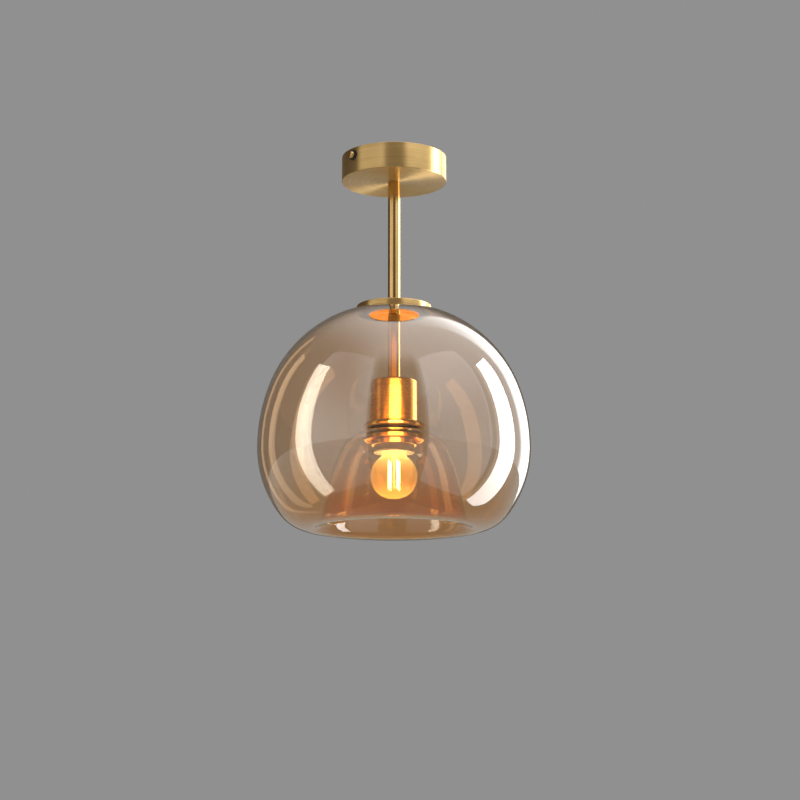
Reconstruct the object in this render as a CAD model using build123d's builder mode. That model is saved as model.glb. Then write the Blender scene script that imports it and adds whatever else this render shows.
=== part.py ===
from build123d import *
import math
import os

# Semi flush ceiling light: a round brass canopy, a short tube, and a blown glass
# shade whose lower half is turned up inside itself as a bell round one small bulb.
#
# Sizes are in millimetres. The origin is the middle of the ceiling plane, +Z points
# up into the ceiling, and the light hangs below. The ceiling bracket lies along X,
# and the canopy's two side screws are on the X axis.

os.makedirs("parts", exist_ok=True)

# Driving dimensions --------------------------------------------------------------

# Fits
thread_clearance = 0.05  # between a thread and its hole, on the radius
ring_clearance = 0.1  # between the shade ring and the lampholder's skirt, on the radius
slip_clearance = 0.3  # between pieces that come apart by hand

# Canopy, a drum with a closed underside
canopy_radius = 51.0
canopy_height = 25.0
canopy_wall = 1.2
canopy_edge_round = 0.8

# Ceiling bracket, a strip with both ends turned down
bracket_width = 18.0
bracket_thickness = 1.5
bracket_bend_radius = 2.0
bracket_tab_length = 13.0
bracket_wall_gap = 0.6  # from the strip's corners to the inside of the canopy
ceiling_slot_spacing = 64.0
ceiling_slot_length = 14.0
ceiling_slot_width = 4.5

# Canopy side screws and their washers
side_screw_drop = 7.5  # below the ceiling
side_screw_radius = 2.0
side_screw_reach = 1.5  # past the inside of the bracket's tab
side_screw_head_radius = 3.4
side_screw_head_height = 2.8
side_screw_dome_round = 2.3
side_screw_key_flats = 2.5
side_screw_key_depth = 1.2
side_washer_radius = 4.9
side_washer_thickness = 0.8

# Earth screw and its lug, under the bracket
earth_screw_offset = 17.0
earth_screw_radius = 2.0
earth_head_radius = 3.5
earth_head_height = 2.2
earth_lug_radius = 4.0
earth_lug_thickness = 0.8
earth_barrel_wall = 0.5
earth_barrel_start = 12.5  # from the stem's axis
earth_barrel_end = 6.5

# Terminal block on the floor of the canopy
block_length = 20.0
block_width = 15.0
block_height = 11.0
block_wall_gap = 10.8  # from the block to the inside of the canopy
block_pole_spacing = 9.0
block_entry_height = 5.5  # of the wire holes above the canopy's floor
block_entry_radius = 1.5
block_entry_depth = 6.0
block_screw_radius = 1.6
block_screw_spacing = 7.0
block_screw_sink = 4.0
block_screw_slot = 0.6

# Tubes, and the threaded nipples, nuts and washers that join them
stem_radius = 6.0
stem_upper_length = 124.3
nipple_radius = 5.0
nipple_bore_radius = 3.5
nipple_engagement = 18.0  # length inside a tube
nipple_stand_out = 0.8  # past its nut
hex_nut_flats = 14.0
hex_nut_height = 3.0
lock_washer_radius = 9.0
lock_washer_thickness = 1.0

# Cap on the crown of the glass, with a spacer and a thin disc under it
cap_overlap = 5.25  # past the edge of the glass's top hole
cap_depth = 5.4
cap_wall = 1.0
cap_edge_round = 1.2
cap_gasket_width = 3.6
cap_spacer_height = 6.0
guide_disc_radius = 24.5
guide_disc_thickness = 1.0

# Lampholder: brass cup, beaded flange, insulating body with a threaded skirt
cup_radius = 22.5
cup_wall = 1.2
cup_height = 41.3
cup_edge_round = 1.8
flange_radius = 29.3
flange_thickness = 6.2
flange_bead_round = 2.8
skirt_radius = 19.5
skirt_length = 28.7  # below the flange's top
skirt_edge_round = 0.8
body_head_height = 14.0
socket_depth = 34.0
socket_shell_radius = 13.95
socket_shell_wall = 0.4
socket_shell_length = 26.5
socket_mouth_depth = 4.0  # from the skirt's end to the shell
terminal_post_size = 6.0
terminal_post_height = 6.5
terminal_post_offset = 9.0
terminal_hole_radius = 1.1
terminal_hole_depth = 3.0
contact_strip_width = 6.0
contact_strip_thickness = 0.6
contact_strip_reach = 8.0
contact_strip_drop = 2.4

# Rubber rings either side of the glass neck
gasket_upper_thickness = 2.0
gasket_lower_thickness = 2.0

# Shade ring: a plate with a turned-down lip and a threaded collar
ring_radius = 28.5
ring_plate = 1.6
ring_lip_depth = 4.5
ring_lip_wall = 1.6
ring_lip_round = 0.7
ring_collar_wall = 1.8
ring_collar_depth = 9.5

# Glass shade. Its outline follows the side of the glass that faces the room.
shade_radius = 130.1  # at the widest line
glass_wall = 2.0
neck_hole_clearance = 1.5  # round the skirt
neck_flat_width = 4.5
bell_dome_radius = 26.75
bell_dome_turn = 65.4  # degrees
bell_flank_radius = 138.0
bell_flank_turn = 14.1  # degrees
bell_side_length = 34.8
fold_radius = 12.0
belly_depth = 78.8  # from the widest line down to the lowest
belly_round_share = 0.732  # of the run from the lowest line out to the widest
seat_rise = 132.7  # from the widest line up to the cap's rim
shoulder_inset = 9.85
shoulder_share = 0.426  # of the seat's rise
crown_share = 0.919  # of the seat's rise
crown_radius_share = 0.5  # of the shade's radius
top_hole_clearance = 1.7  # round the flange, which passes through

# Bulb, a small globe on a 27 mm screw cap
bulb_radius = 22.5
bulb_length = 76.0
bulb_wall = 0.8
bulb_neck_radius = 11.5
bulb_neck_round = 5.0
bulb_neck_depth = 13.0  # inside the screw cap
bulb_cap_radius = 13.2
bulb_thread_depth = 0.9
bulb_thread_pitch = 3.6
bulb_thread_turns = 5
bulb_cap_wall = 0.4
bulb_cap_rim_height = 1.6
bulb_cap_shoulder = 2.4
bulb_insulator_radius = 9.4
bulb_insulator_height = 3.6
bulb_contact_radius = 4.6
bulb_contact_height = 1.4
bulb_contact_round = 0.9
mount_flare_height = 6.0
mount_stem_radius = 3.0
mount_rod_radius = 1.0
filament_drop = 38.0  # from the bulb's contact to the filaments' tops
filament_length = 28.5
filament_radius = 0.9
filament_circle = 5.8
filament_count = 4
filament_turn = -6.0  # degrees
support_radius = 0.3
support_inset = 0.9

# Wires from the canopy to the lampholder
wire_radius = 1.0
wire_bundle_radius = 1.9
wire_arch_height = 15.8  # of the two supply wires above the canopy's floor
wire_arch_reach = 12.0
wire_landing = 16.0
wire_drop_lead = 3.5  # straight run past the lower nipple
wire_post_lead = 3.8  # straight run into a terminal post
wire_bend_share = 0.45  # of the shorter run beside a bend

# Radii and levels that follow ------------------------------------------------------

thread_hole_radius = nipple_radius + thread_clearance
canopy_bore = canopy_radius - canopy_wall
canopy_floor = -canopy_height + canopy_wall
block_offset = canopy_bore - block_wall_gap - block_width / 2
bracket_reach = math.sqrt((canopy_bore - bracket_wall_gap) ** 2 - (bracket_width / 2) ** 2)

hole_radius = flange_radius + top_hole_clearance
cap_radius = hole_radius + cap_overlap
cap_top = -canopy_height - stem_upper_length
cap_underside = cap_top - cap_wall
cap_rim = cap_top - cap_depth
guide_disc_top = cap_underside - cap_spacer_height
guide_disc_underside = guide_disc_top - guide_disc_thickness

neck_radius = skirt_radius + neck_hole_clearance
neck_flat_radius = neck_radius + neck_flat_width
dome_end = math.radians(bell_dome_turn)
side_slope = math.radians(bell_dome_turn + bell_flank_turn)
bell_rise = (
    bell_dome_radius * (1 - math.cos(dome_end))
    + bell_flank_radius * (math.cos(dome_end) - math.cos(side_slope))
    + bell_side_length * math.sin(side_slope)
    + fold_radius * (1 - math.cos(side_slope))
)
equator_level = cap_rim - slip_clearance - seat_rise
lowest_level = equator_level - belly_depth
neck_underside = lowest_level + bell_rise
neck_top = neck_underside + glass_wall

flange_underside = neck_top + gasket_upper_thickness
flange_top = flange_underside + flange_thickness
cup_top = flange_top + cup_height
cup_ceiling = cup_top - cup_wall
body_top = flange_top + body_head_height
post_top = body_top + terminal_post_height
skirt_end = flange_top - skirt_length
socket_floor = skirt_end + socket_depth
socket_bore = socket_shell_radius + thread_clearance
ring_top = neck_underside - gasket_lower_thickness

bulb_top = socket_floor - contact_strip_drop - contact_strip_thickness - slip_clearance
bulb_centre = bulb_top - bulb_length + bulb_radius
insulator_top = bulb_top - bulb_contact_height
insulator_base = insulator_top - bulb_insulator_height
thread_top = insulator_base - bulb_cap_shoulder
thread_end = thread_top - bulb_thread_pitch * bulb_thread_turns
bulb_cap_end = thread_end - bulb_cap_rim_height
bulb_neck_top = bulb_cap_end + bulb_neck_depth
filament_top = bulb_top - filament_drop
filament_end = filament_top - filament_length

nipple_top = canopy_floor + lock_washer_thickness + hex_nut_height + nipple_stand_out
nipple_end = cup_ceiling - lock_washer_thickness - hex_nut_height - nipple_stand_out

# Canopy ----------------------------------------------------------------------------

with BuildPart() as canopy:
    with BuildSketch():
        Circle(canopy_radius)
    extrude(amount=-canopy_height)
    fillet(canopy.faces().sort_by(Axis.Z)[0].edges(), canopy_edge_round)
    with BuildSketch():
        Circle(canopy_bore)
    extrude(amount=canopy_floor, mode=Mode.SUBTRACT)
    with BuildSketch():
        Circle(thread_hole_radius)
    extrude(amount=-canopy_height, mode=Mode.SUBTRACT)
    with BuildSketch(Plane.YZ):
        with Locations((0, -side_screw_drop)):
            Circle(side_screw_radius + slip_clearance)
    extrude(amount=canopy_radius, both=True, mode=Mode.SUBTRACT)
canopy.part.label = "canopy"
export_step(canopy.part, "parts/canopy.step")

# Ceiling bracket -------------------------------------------------------------------

with BuildPart() as mounting_bracket:
    with BuildSketch(Plane.XZ):
        with BuildLine():
            strip_middle = -bracket_thickness / 2
            tab_middle = bracket_reach - bracket_thickness / 2
            FilletPolyline(
                (-tab_middle, -bracket_tab_length),
                (-tab_middle, strip_middle),
                (tab_middle, strip_middle),
                (tab_middle, -bracket_tab_length),
                radius=bracket_bend_radius,
            )
        trace(line_width=bracket_thickness)
    extrude(amount=bracket_width / 2, both=True)
    with BuildSketch():
        with GridLocations(ceiling_slot_spacing, 0, 2, 1):
            SlotOverall(ceiling_slot_length, ceiling_slot_width)
        with Locations((-earth_screw_offset, -wire_bundle_radius)):
            Circle(earth_screw_radius + thread_clearance)
    extrude(amount=-bracket_thickness, mode=Mode.SUBTRACT)
    with BuildSketch(Plane.YZ):
        with Locations((0, -side_screw_drop)):
            Circle(side_screw_radius + thread_clearance)
    extrude(amount=bracket_reach, both=True, mode=Mode.SUBTRACT)
mounting_bracket.part.label = "mounting_bracket"
export_step(mounting_bracket.part, "parts/mounting_bracket.step")

# Side screws: a domed head outside the canopy, its end in the bracket's tab -----------

washer_face = canopy_radius + slip_clearance
head_face = washer_face + side_washer_thickness
screw_length = head_face - bracket_reach + bracket_thickness + side_screw_reach

for side, name in ((-1, "left"), (1, "right")):
    seat = Plane(origin=(side * washer_face, 0, -side_screw_drop), z_dir=(side, 0, 0))
    head = Plane(origin=(side * head_face, 0, -side_screw_drop), z_dir=(side, 0, 0))

    with BuildPart() as canopy_washer:
        with BuildSketch(seat):
            Circle(side_washer_radius)
            Circle(side_screw_radius + thread_clearance, mode=Mode.SUBTRACT)
        extrude(amount=side_washer_thickness)
    canopy_washer.part.label = f"canopy_washer_{name}"
    export_step(canopy_washer.part, f"parts/canopy_washer_{name}.step")

    with BuildPart() as canopy_screw:
        with BuildSketch(head):
            Circle(side_screw_head_radius)
        extrude(amount=side_screw_head_height)
        outer_face = canopy_screw.faces().sort_by(Axis.X)[-1 if side > 0 else 0]
        fillet(outer_face.edges(), side_screw_dome_round)
        with BuildSketch(head.offset(side_screw_head_height)):
            RegularPolygon(side_screw_key_flats / 2, 6, major_radius=False)
        extrude(amount=-side_screw_key_depth, mode=Mode.SUBTRACT)
        with BuildSketch(head):
            Circle(side_screw_radius)
        extrude(amount=-screw_length)
    canopy_screw.part.label = f"canopy_screw_{name}"
    export_step(canopy_screw.part, f"parts/canopy_screw_{name}.step")

# Earth screw and lug ---------------------------------------------------------------

earth_place = (-earth_screw_offset, -wire_bundle_radius)
lug_underside = -bracket_thickness - earth_lug_thickness
barrel_radius = wire_radius + thread_clearance + earth_barrel_wall
barrel_level = -bracket_thickness - thread_clearance - barrel_radius

with BuildPart() as earth_screw:
    with BuildSketch(Plane.XY.offset(lug_underside - earth_head_height)):
        with Locations(earth_place):
            Circle(earth_head_radius)
    extrude(amount=earth_head_height)
    with BuildSketch(Plane.XY.offset(lug_underside)):
        with Locations(earth_place):
            Circle(earth_screw_radius)
    extrude(amount=-lug_underside)
earth_screw.part.label = "earth_screw"
export_step(earth_screw.part, "parts/earth_screw.step")

with BuildPart() as earth_lug:
    with BuildSketch(Plane.XY.offset(lug_underside)):
        with Locations(earth_place):
            Circle(earth_lug_radius)
            Circle(earth_screw_radius + thread_clearance, mode=Mode.SUBTRACT)
    extrude(amount=earth_lug_thickness)
    with BuildSketch(Plane.YZ.offset(-earth_barrel_start - barrel_radius)):
        with Locations((-wire_bundle_radius, barrel_level)):
            Circle(barrel_radius)
    extrude(amount=earth_barrel_start + barrel_radius - earth_barrel_end)
    with BuildSketch(Plane.XY.offset(lug_underside)):
        with Locations(earth_place):
            Circle(earth_head_radius + thread_clearance)
    extrude(amount=-barrel_radius * 2, mode=Mode.SUBTRACT)
    with BuildSketch(Plane.YZ.offset(-earth_barrel_end)):
        with Locations((-wire_bundle_radius, barrel_level)):
            Circle(wire_radius + thread_clearance)
    extrude(amount=earth_barrel_end - earth_barrel_start, mode=Mode.SUBTRACT)
earth_lug.part.label = "earth_lug"
export_step(earth_lug.part, "parts/earth_lug.step")

# Terminal block --------------------------------------------------------------------

block_face = block_offset - block_width / 2
block_top = canopy_floor + block_height
entry_level = canopy_floor + block_entry_height

with BuildPart() as terminal_block:
    with BuildSketch(Plane.XY.offset(canopy_floor)):
        with Locations((0, block_offset)):
            RectangleRounded(block_length, block_width, block_entry_radius)
    extrude(amount=block_height)
    with BuildSketch(Plane.XY.offset(block_top)):
        with Locations((0, block_offset)):
            with GridLocations(block_pole_spacing, block_screw_spacing, 2, 2):
                Circle(block_screw_radius + thread_clearance)
    extrude(amount=-block_screw_sink, mode=Mode.SUBTRACT)
    with BuildSketch(Plane.XZ.offset(-block_offset + block_width / 2)):
        with Locations((0, entry_level)):
            with GridLocations(block_pole_spacing, 0, 2, 1):
                Circle(block_entry_radius)
    extrude(amount=-block_entry_depth, mode=Mode.SUBTRACT)
terminal_block.part.label = "terminal_block"
export_step(terminal_block.part, "parts/terminal_block.step")

with BuildPart() as terminal_screws:
    with BuildSketch(Plane.XY.offset(block_top - block_screw_sink)):
        with Locations((0, block_offset)):
            with GridLocations(block_pole_spacing, block_screw_spacing, 2, 2):
                Circle(block_screw_radius)
    extrude(amount=block_screw_sink / 2)
    with BuildSketch(Plane.XY.offset(block_top - block_screw_sink / 2)):
        with Locations((0, block_offset)):
            with GridLocations(block_pole_spacing, block_screw_spacing, 2, 2):
                Rectangle(2 * block_screw_radius, block_screw_slot)
    extrude(amount=-block_screw_slot, mode=Mode.SUBTRACT)
terminal_screws.part.label = "terminal_screws"
export_step(terminal_screws.part, "parts/terminal_screws.step")

# Nipples, nuts and washers ---------------------------------------------------------

nipples = (
    ("nipple_canopy", nipple_top, -canopy_height - nipple_engagement),
    ("nipple_cap", cap_top + nipple_engagement, guide_disc_underside - nipple_engagement),
    ("nipple_holder", cup_top + nipple_engagement, nipple_end),
)
for name, top, end in nipples:
    with BuildPart() as nipple:
        with BuildSketch(Plane.XY.offset(end)):
            Circle(nipple_radius)
            Circle(nipple_bore_radius, mode=Mode.SUBTRACT)
        extrude(amount=top - end)
    nipple.part.label = name
    export_step(nipple.part, f"parts/{name}.step")

washer_levels = (canopy_floor, cup_ceiling - lock_washer_thickness)
nut_levels = (
    canopy_floor + lock_washer_thickness,
    cup_ceiling - lock_washer_thickness - hex_nut_height,
)

with BuildPart() as lock_washers:
    for level in washer_levels:
        with BuildSketch(Plane.XY.offset(level)):
            Circle(lock_washer_radius)
            Circle(thread_hole_radius, mode=Mode.SUBTRACT)
        extrude(amount=lock_washer_thickness)
lock_washers.part.label = "lock_washers"
export_step(lock_washers.part, "parts/lock_washers.step")

with BuildPart() as hex_nuts:
    for level in nut_levels:
        with BuildSketch(Plane.XY.offset(level)):
            RegularPolygon(hex_nut_flats / 2, 6, major_radius=False)
            Circle(thread_hole_radius, mode=Mode.SUBTRACT)
        extrude(amount=hex_nut_height)
hex_nuts.part.label = "hex_nuts"
export_step(hex_nuts.part, "parts/hex_nuts.step")

# Tubes -----------------------------------------------------------------------------

tubes = (
    ("stem_upper", -canopy_height, cap_top),
    ("cap_spacer", cap_underside, guide_disc_top),
    ("stem_lower", guide_disc_underside, cup_top),
)
for name, top, end in tubes:
    with BuildPart() as tube:
        with BuildSketch(Plane.XY.offset(end)):
            Circle(stem_radius)
            Circle(thread_hole_radius, mode=Mode.SUBTRACT)
        extrude(amount=top - end)
    tube.part.label = name
    export_step(tube.part, f"parts/{name}.step")

# Cap on the crown of the glass -----------------------------------------------------

with BuildPart() as shade_cap:
    with BuildSketch(Plane.XY.offset(cap_top)):
        Circle(cap_radius)
    extrude(amount=-cap_depth)
    fillet(shade_cap.faces().sort_by(Axis.Z)[-1].edges(), cap_edge_round)
    with BuildSketch(Plane.XY.offset(cap_underside)):
        Circle(cap_radius - cap_wall)
    extrude(amount=cap_wall - cap_depth, mode=Mode.SUBTRACT)
    with BuildSketch(Plane.XY.offset(cap_top)):
        Circle(thread_hole_radius)
    extrude(amount=-cap_wall, mode=Mode.SUBTRACT)
shade_cap.part.label = "shade_cap"
export_step(shade_cap.part, "parts/shade_cap.step")

with BuildPart() as guide_disc:
    with BuildSketch(Plane.XY.offset(guide_disc_underside)):
        Circle(guide_disc_radius)
        Circle(thread_hole_radius, mode=Mode.SUBTRACT)
    extrude(amount=guide_disc_thickness)
guide_disc.part.label = "guide_disc"
export_step(guide_disc.part, "parts/guide_disc.step")

# Glass shade: one wall, from the neck down the bell, round the fold and up the globe --

lowest_radius = neck_flat_radius + (
    bell_dome_radius * math.sin(dome_end)
    + bell_flank_radius * (math.sin(side_slope) - math.sin(dome_end))
    + bell_side_length * math.cos(side_slope)
    + fold_radius * math.sin(side_slope)
)
belly_overhang = shade_radius - lowest_radius
belly_round = belly_round_share * belly_overhang
belly_radius = (belly_overhang**2 + (belly_depth - belly_round) ** 2 - belly_round**2) / (
    2 * (belly_overhang - belly_round)
)
belly_turn = math.degrees(
    math.asin((belly_radius - belly_overhang) / (belly_radius - belly_round))
)

with BuildPart() as blown_glass:
    with BuildSketch(Plane.XZ):
        with BuildLine():
            seat = Line((neck_radius, neck_underside), (neck_flat_radius, neck_underside))
            dome = JernArc(seat @ 1, (1, 0), bell_dome_radius, -bell_dome_turn)
            flank = JernArc(dome @ 1, dome % 1, bell_flank_radius, -bell_flank_turn)
            side_wall = PolarLine(flank @ 1, bell_side_length, direction=flank % 1)
            fold = JernArc(side_wall @ 1, side_wall % 1, fold_radius, math.degrees(side_slope))
            rounding = JernArc(fold @ 1, fold % 1, belly_round, belly_turn)
            belly = JernArc(rounding @ 1, rounding % 1, belly_radius, 90 - belly_turn)
            shoulder = TangentArc(
                belly @ 1,
                (shade_radius - shoulder_inset, equator_level + shoulder_share * seat_rise),
                tangent=belly % 1,
            )
            crown = TangentArc(
                shoulder @ 1,
                (crown_radius_share * shade_radius, equator_level + crown_share * seat_rise),
                tangent=shoulder % 1,
            )
            cap_seat = TangentArc(
                crown @ 1, (cap_radius, equator_level + seat_rise), tangent=crown % 1
            )
            lip_slope = (cap_seat % 1).Y / (cap_seat % 1).X
            hole_edge = equator_level + seat_rise - cap_overlap * lip_slope
            Line(cap_seat @ 1, (hole_radius, hole_edge))
            offset(amount=glass_wall, side=Side.RIGHT)
        make_face()
    revolve(axis=Axis.Z)

# The blown piece is kept as two nodes, which meet in the lowest ring of the fold.
for name, share in (("glass_bell", Mode.INTERSECT), ("glass_globe", Mode.SUBTRACT)):
    with BuildPart() as glass_share:
        add(blown_glass.part)
        with BuildSketch(Plane.XY.offset(lowest_level - glass_wall)):
            Circle(lowest_radius)
        extrude(amount=neck_top - lowest_level + 2 * glass_wall, mode=share)
    glass_share.part.label = name
    export_step(glass_share.part, f"parts/{name}.step")

# Soft rings ------------------------------------------------------------------------

gaskets = (
    ("cap_gasket", hole_radius + cap_gasket_width, hole_radius, cap_underside,
     hole_edge + slip_clearance),
    ("gasket_upper", neck_flat_radius, skirt_radius + slip_clearance, flange_underside,
     neck_top),
    ("gasket_lower", neck_flat_radius - slip_clearance, skirt_radius + slip_clearance,
     neck_underside, ring_top),
)
for name, outer, inner, top, end in gaskets:
    with BuildPart() as gasket:
        with BuildSketch(Plane.XY.offset(end)):
            Circle(outer)
            Circle(inner, mode=Mode.SUBTRACT)
        extrude(amount=top - end)
    gasket.part.label = name
    export_step(gasket.part, f"parts/{name}.step")

# Lampholder ------------------------------------------------------------------------

with BuildPart() as lampholder_cup:
    with BuildSketch(Plane.XY.offset(cup_top)):
        Circle(cup_radius)
    extrude(amount=-cup_height)
    fillet(lampholder_cup.faces().sort_by(Axis.Z)[-1].edges(), cup_edge_round)
    with BuildSketch(Plane.XY.offset(cup_ceiling)):
        Circle(cup_radius - cup_wall)
    extrude(amount=cup_wall - cup_height, mode=Mode.SUBTRACT)
    with BuildSketch(Plane.XY.offset(cup_top)):
        Circle(thread_hole_radius)
    extrude(amount=-cup_wall, mode=Mode.SUBTRACT)
lampholder_cup.part.label = "lampholder_cup"
export_step(lampholder_cup.part, "parts/lampholder_cup.step")

with BuildPart() as clamp_flange:
    with BuildSketch(Plane.XY.offset(flange_underside)):
        Circle(flange_radius)
    extrude(amount=flange_thickness)
    fillet(clamp_flange.edges(), flange_bead_round)
    with BuildSketch(Plane.XY.offset(flange_underside)):
        Circle(skirt_radius + thread_clearance)
    extrude(amount=flange_thickness, mode=Mode.SUBTRACT)
clamp_flange.part.label = "clamp_flange"
export_step(clamp_flange.part, "parts/clamp_flange.step")

with BuildPart() as lampholder_body:
    with BuildSketch(Plane.XY.offset(skirt_end)):
        Circle(skirt_radius)
    extrude(amount=skirt_length)
    fillet(lampholder_body.faces().sort_by(Axis.Z)[0].edges(), skirt_edge_round)
    with BuildSketch(Plane.XY.offset(flange_top)):
        Circle(cup_radius - cup_wall - thread_clearance)
    extrude(amount=body_head_height)
    with BuildSketch(Plane.XY.offset(skirt_end)):
        Circle(socket_bore)
    extrude(amount=socket_depth, mode=Mode.SUBTRACT)
lampholder_body.part.label = "lampholder_body"
export_step(lampholder_body.part, "parts/lampholder_body.step")

with BuildPart() as socket_shell:
    with BuildSketch(Plane.XY.offset(skirt_end + socket_mouth_depth)):
        Circle(socket_shell_radius)
        Circle(socket_shell_radius - socket_shell_wall, mode=Mode.SUBTRACT)
    extrude(amount=socket_shell_length)
socket_shell.part.label = "socket_shell"
export_step(socket_shell.part, "parts/socket_shell.step")

# The centre contact is a strip bent down into a springy tongue.
with BuildPart() as centre_contact:
    with BuildSketch(Plane.XZ):
        with BuildLine():
            tongue_level = socket_floor - contact_strip_thickness / 2
            FilletPolyline(
                (-contact_strip_reach, tongue_level),
                (-contact_strip_reach / 2, tongue_level),
                (0, tongue_level - contact_strip_drop),
                (contact_strip_reach / 2, tongue_level - contact_strip_drop),
                radius=contact_strip_thickness,
            )
        trace(line_width=contact_strip_thickness)
    extrude(amount=contact_strip_width / 2, both=True)
centre_contact.part.label = "centre_contact"
export_step(centre_contact.part, "parts/centre_contact.step")

post_places = (
    (terminal_post_offset, 0),
    (-terminal_post_offset, 0),
    (0, -terminal_post_offset),
)
with BuildPart() as holder_terminals:
    with BuildSketch(Plane.XY.offset(body_top)):
        with Locations(post_places):
            Rectangle(terminal_post_size, terminal_post_size)
    extrude(amount=terminal_post_height)
    with BuildSketch(Plane.XY.offset(post_top)):
        with Locations(post_places):
            Circle(terminal_hole_radius)
    extrude(amount=-terminal_hole_depth, mode=Mode.SUBTRACT)
holder_terminals.part.label = "holder_terminals"
export_step(holder_terminals.part, "parts/holder_terminals.step")

# Shade ring: it screws up the skirt and carries the glass neck -------------------------

collar_bore = skirt_radius + ring_clearance
lip_bore = ring_radius - ring_lip_wall

with BuildPart() as shade_ring:
    with BuildSketch(Plane.XY.offset(ring_top)):
        Circle(ring_radius)
        Circle(collar_bore, mode=Mode.SUBTRACT)
    extrude(amount=-ring_plate)
    with BuildSketch(Plane.XY.offset(ring_top - ring_plate)):
        Circle(ring_radius)
        Circle(lip_bore, mode=Mode.SUBTRACT)
    extrude(amount=ring_plate - ring_lip_depth)
    with BuildSketch(Plane.XY.offset(ring_top - ring_plate)):
        Circle(collar_bore + ring_collar_wall)
        Circle(collar_bore, mode=Mode.SUBTRACT)
    extrude(amount=ring_plate - ring_collar_depth)
    outer_edges = shade_ring.edges().filter_by(
        lambda edge: edge.geom_type == GeomType.CIRCLE and edge.radius > ring_radius - slip_clearance
    )
    fillet(outer_edges, ring_lip_round)
shade_ring.part.label = "shade_ring"
export_step(shade_ring.part, "parts/shade_ring.step")

# Bulb ------------------------------------------------------------------------------

with BuildPart() as bulb_envelope:
    with BuildSketch(Plane.XZ):
        with BuildLine():
            globe_angle = math.acos(bulb_neck_radius / bulb_radius)
            neck_foot = bulb_centre + bulb_radius * math.sin(globe_angle)
            Line((bulb_neck_radius, bulb_neck_top), (bulb_neck_radius, neck_foot))
            CenterArc((0, bulb_centre), bulb_radius, -90, 90 + math.degrees(globe_angle))
            fillet(vertices().sort_by_distance((bulb_neck_radius, neck_foot))[0], bulb_neck_round)
            offset(amount=bulb_wall, side=Side.RIGHT)
        make_face()
    revolve(axis=Axis.Z)
bulb_envelope.part.label = "bulb_envelope"
export_step(bulb_envelope.part, "parts/bulb_envelope.step")

thread_middle = bulb_cap_radius - bulb_thread_depth / 2
cap_inner_radius = bulb_cap_radius - bulb_thread_depth - bulb_cap_wall

with BuildPart() as bulb_cap:
    with BuildSketch(Plane.XZ):
        with BuildLine():
            Polyline(
                (thread_middle, thread_end),
                (thread_middle, bulb_cap_end),
                (cap_inner_radius, bulb_cap_end),
                (cap_inner_radius, thread_top),
                (bulb_insulator_radius - bulb_cap_wall, insulator_base - bulb_cap_wall),
                (bulb_insulator_radius - bulb_cap_wall, insulator_base),
                (bulb_insulator_radius, insulator_base),
                (thread_middle, thread_top),
            )
            for turn in range(bulb_thread_turns):
                start = thread_end + turn * bulb_thread_pitch
                half = start + bulb_thread_pitch / 2
                quarter = bulb_thread_pitch / 4
                ThreePointArc(
                    (thread_middle, start),
                    (thread_middle - bulb_thread_depth / 2, start + quarter),
                    (thread_middle, half),
                )
                ThreePointArc(
                    (thread_middle, half),
                    (thread_middle + bulb_thread_depth / 2, half + quarter),
                    (thread_middle, start + bulb_thread_pitch),
                )
        make_face()
    revolve(axis=Axis.Z)
bulb_cap.part.label = "bulb_cap"
export_step(bulb_cap.part, "parts/bulb_cap.step")

with BuildPart() as bulb_insulator:
    with BuildSketch(Plane.XY.offset(insulator_base)):
        Circle(bulb_insulator_radius)
    with BuildSketch(Plane.XY.offset(insulator_top)):
        Circle(bulb_contact_radius)
    loft()
bulb_insulator.part.label = "bulb_insulator"
export_step(bulb_insulator.part, "parts/bulb_insulator.step")

with BuildPart() as bulb_contact:
    with BuildSketch(Plane.XY.offset(insulator_top)):
        Circle(bulb_contact_radius)
    extrude(amount=bulb_contact_height)
    fillet(bulb_contact.faces().sort_by(Axis.Z)[-1].edges(), bulb_contact_round)
bulb_contact.part.label = "bulb_contact"
export_step(bulb_contact.part, "parts/bulb_contact.step")

# The glass mount is a flare sealed in the neck, with a stem and a thin rod below it.
flare_radius = bulb_neck_radius - bulb_wall - thread_clearance
rod_end = filament_end + support_inset - support_radius

with BuildPart() as bulb_mount:
    with BuildSketch(Plane.XZ):
        with BuildLine():
            Polyline(
                (0, bulb_neck_top),
                (flare_radius, bulb_neck_top),
                (flare_radius, bulb_neck_top - bulb_wall),
                (mount_stem_radius, bulb_neck_top - mount_flare_height),
                (mount_stem_radius, filament_top),
                (mount_rod_radius, filament_top - mount_rod_radius),
                (mount_rod_radius, rod_end),
                (0, rod_end),
                (0, bulb_neck_top),
            )
        make_face()
    revolve(axis=Axis.Z)
bulb_mount.part.label = "bulb_mount"
export_step(bulb_mount.part, "parts/bulb_mount.step")

with BuildPart() as bulb_filaments:
    with BuildSketch(Plane.XY.offset(filament_end)):
        with PolarLocations(filament_circle, filament_count, filament_turn):
            Circle(filament_radius)
    extrude(amount=filament_length)
bulb_filaments.part.label = "bulb_filaments"
export_step(bulb_filaments.part, "parts/bulb_filaments.step")

# Each filament is held by a short wire at its top and another at its foot.
support_length = filament_circle - filament_radius - mount_rod_radius
support_middle = mount_rod_radius + support_length / 2
foot_wire_level = filament_end + support_inset
top_wire_level = filament_top - mount_rod_radius - support_inset

with BuildPart() as bulb_supports:
    for level in (foot_wire_level, top_wire_level):
        with Locations((0, 0, level)):
            with PolarLocations(support_middle, filament_count, filament_turn):
                Cylinder(support_radius, support_length, rotation=(0, 90, 0))
bulb_supports.part.label = "bulb_supports"
export_step(bulb_supports.part, "parts/bulb_supports.step")

# Wires: each runs down the middle of the tubes and spreads to its own post -------------


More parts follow.
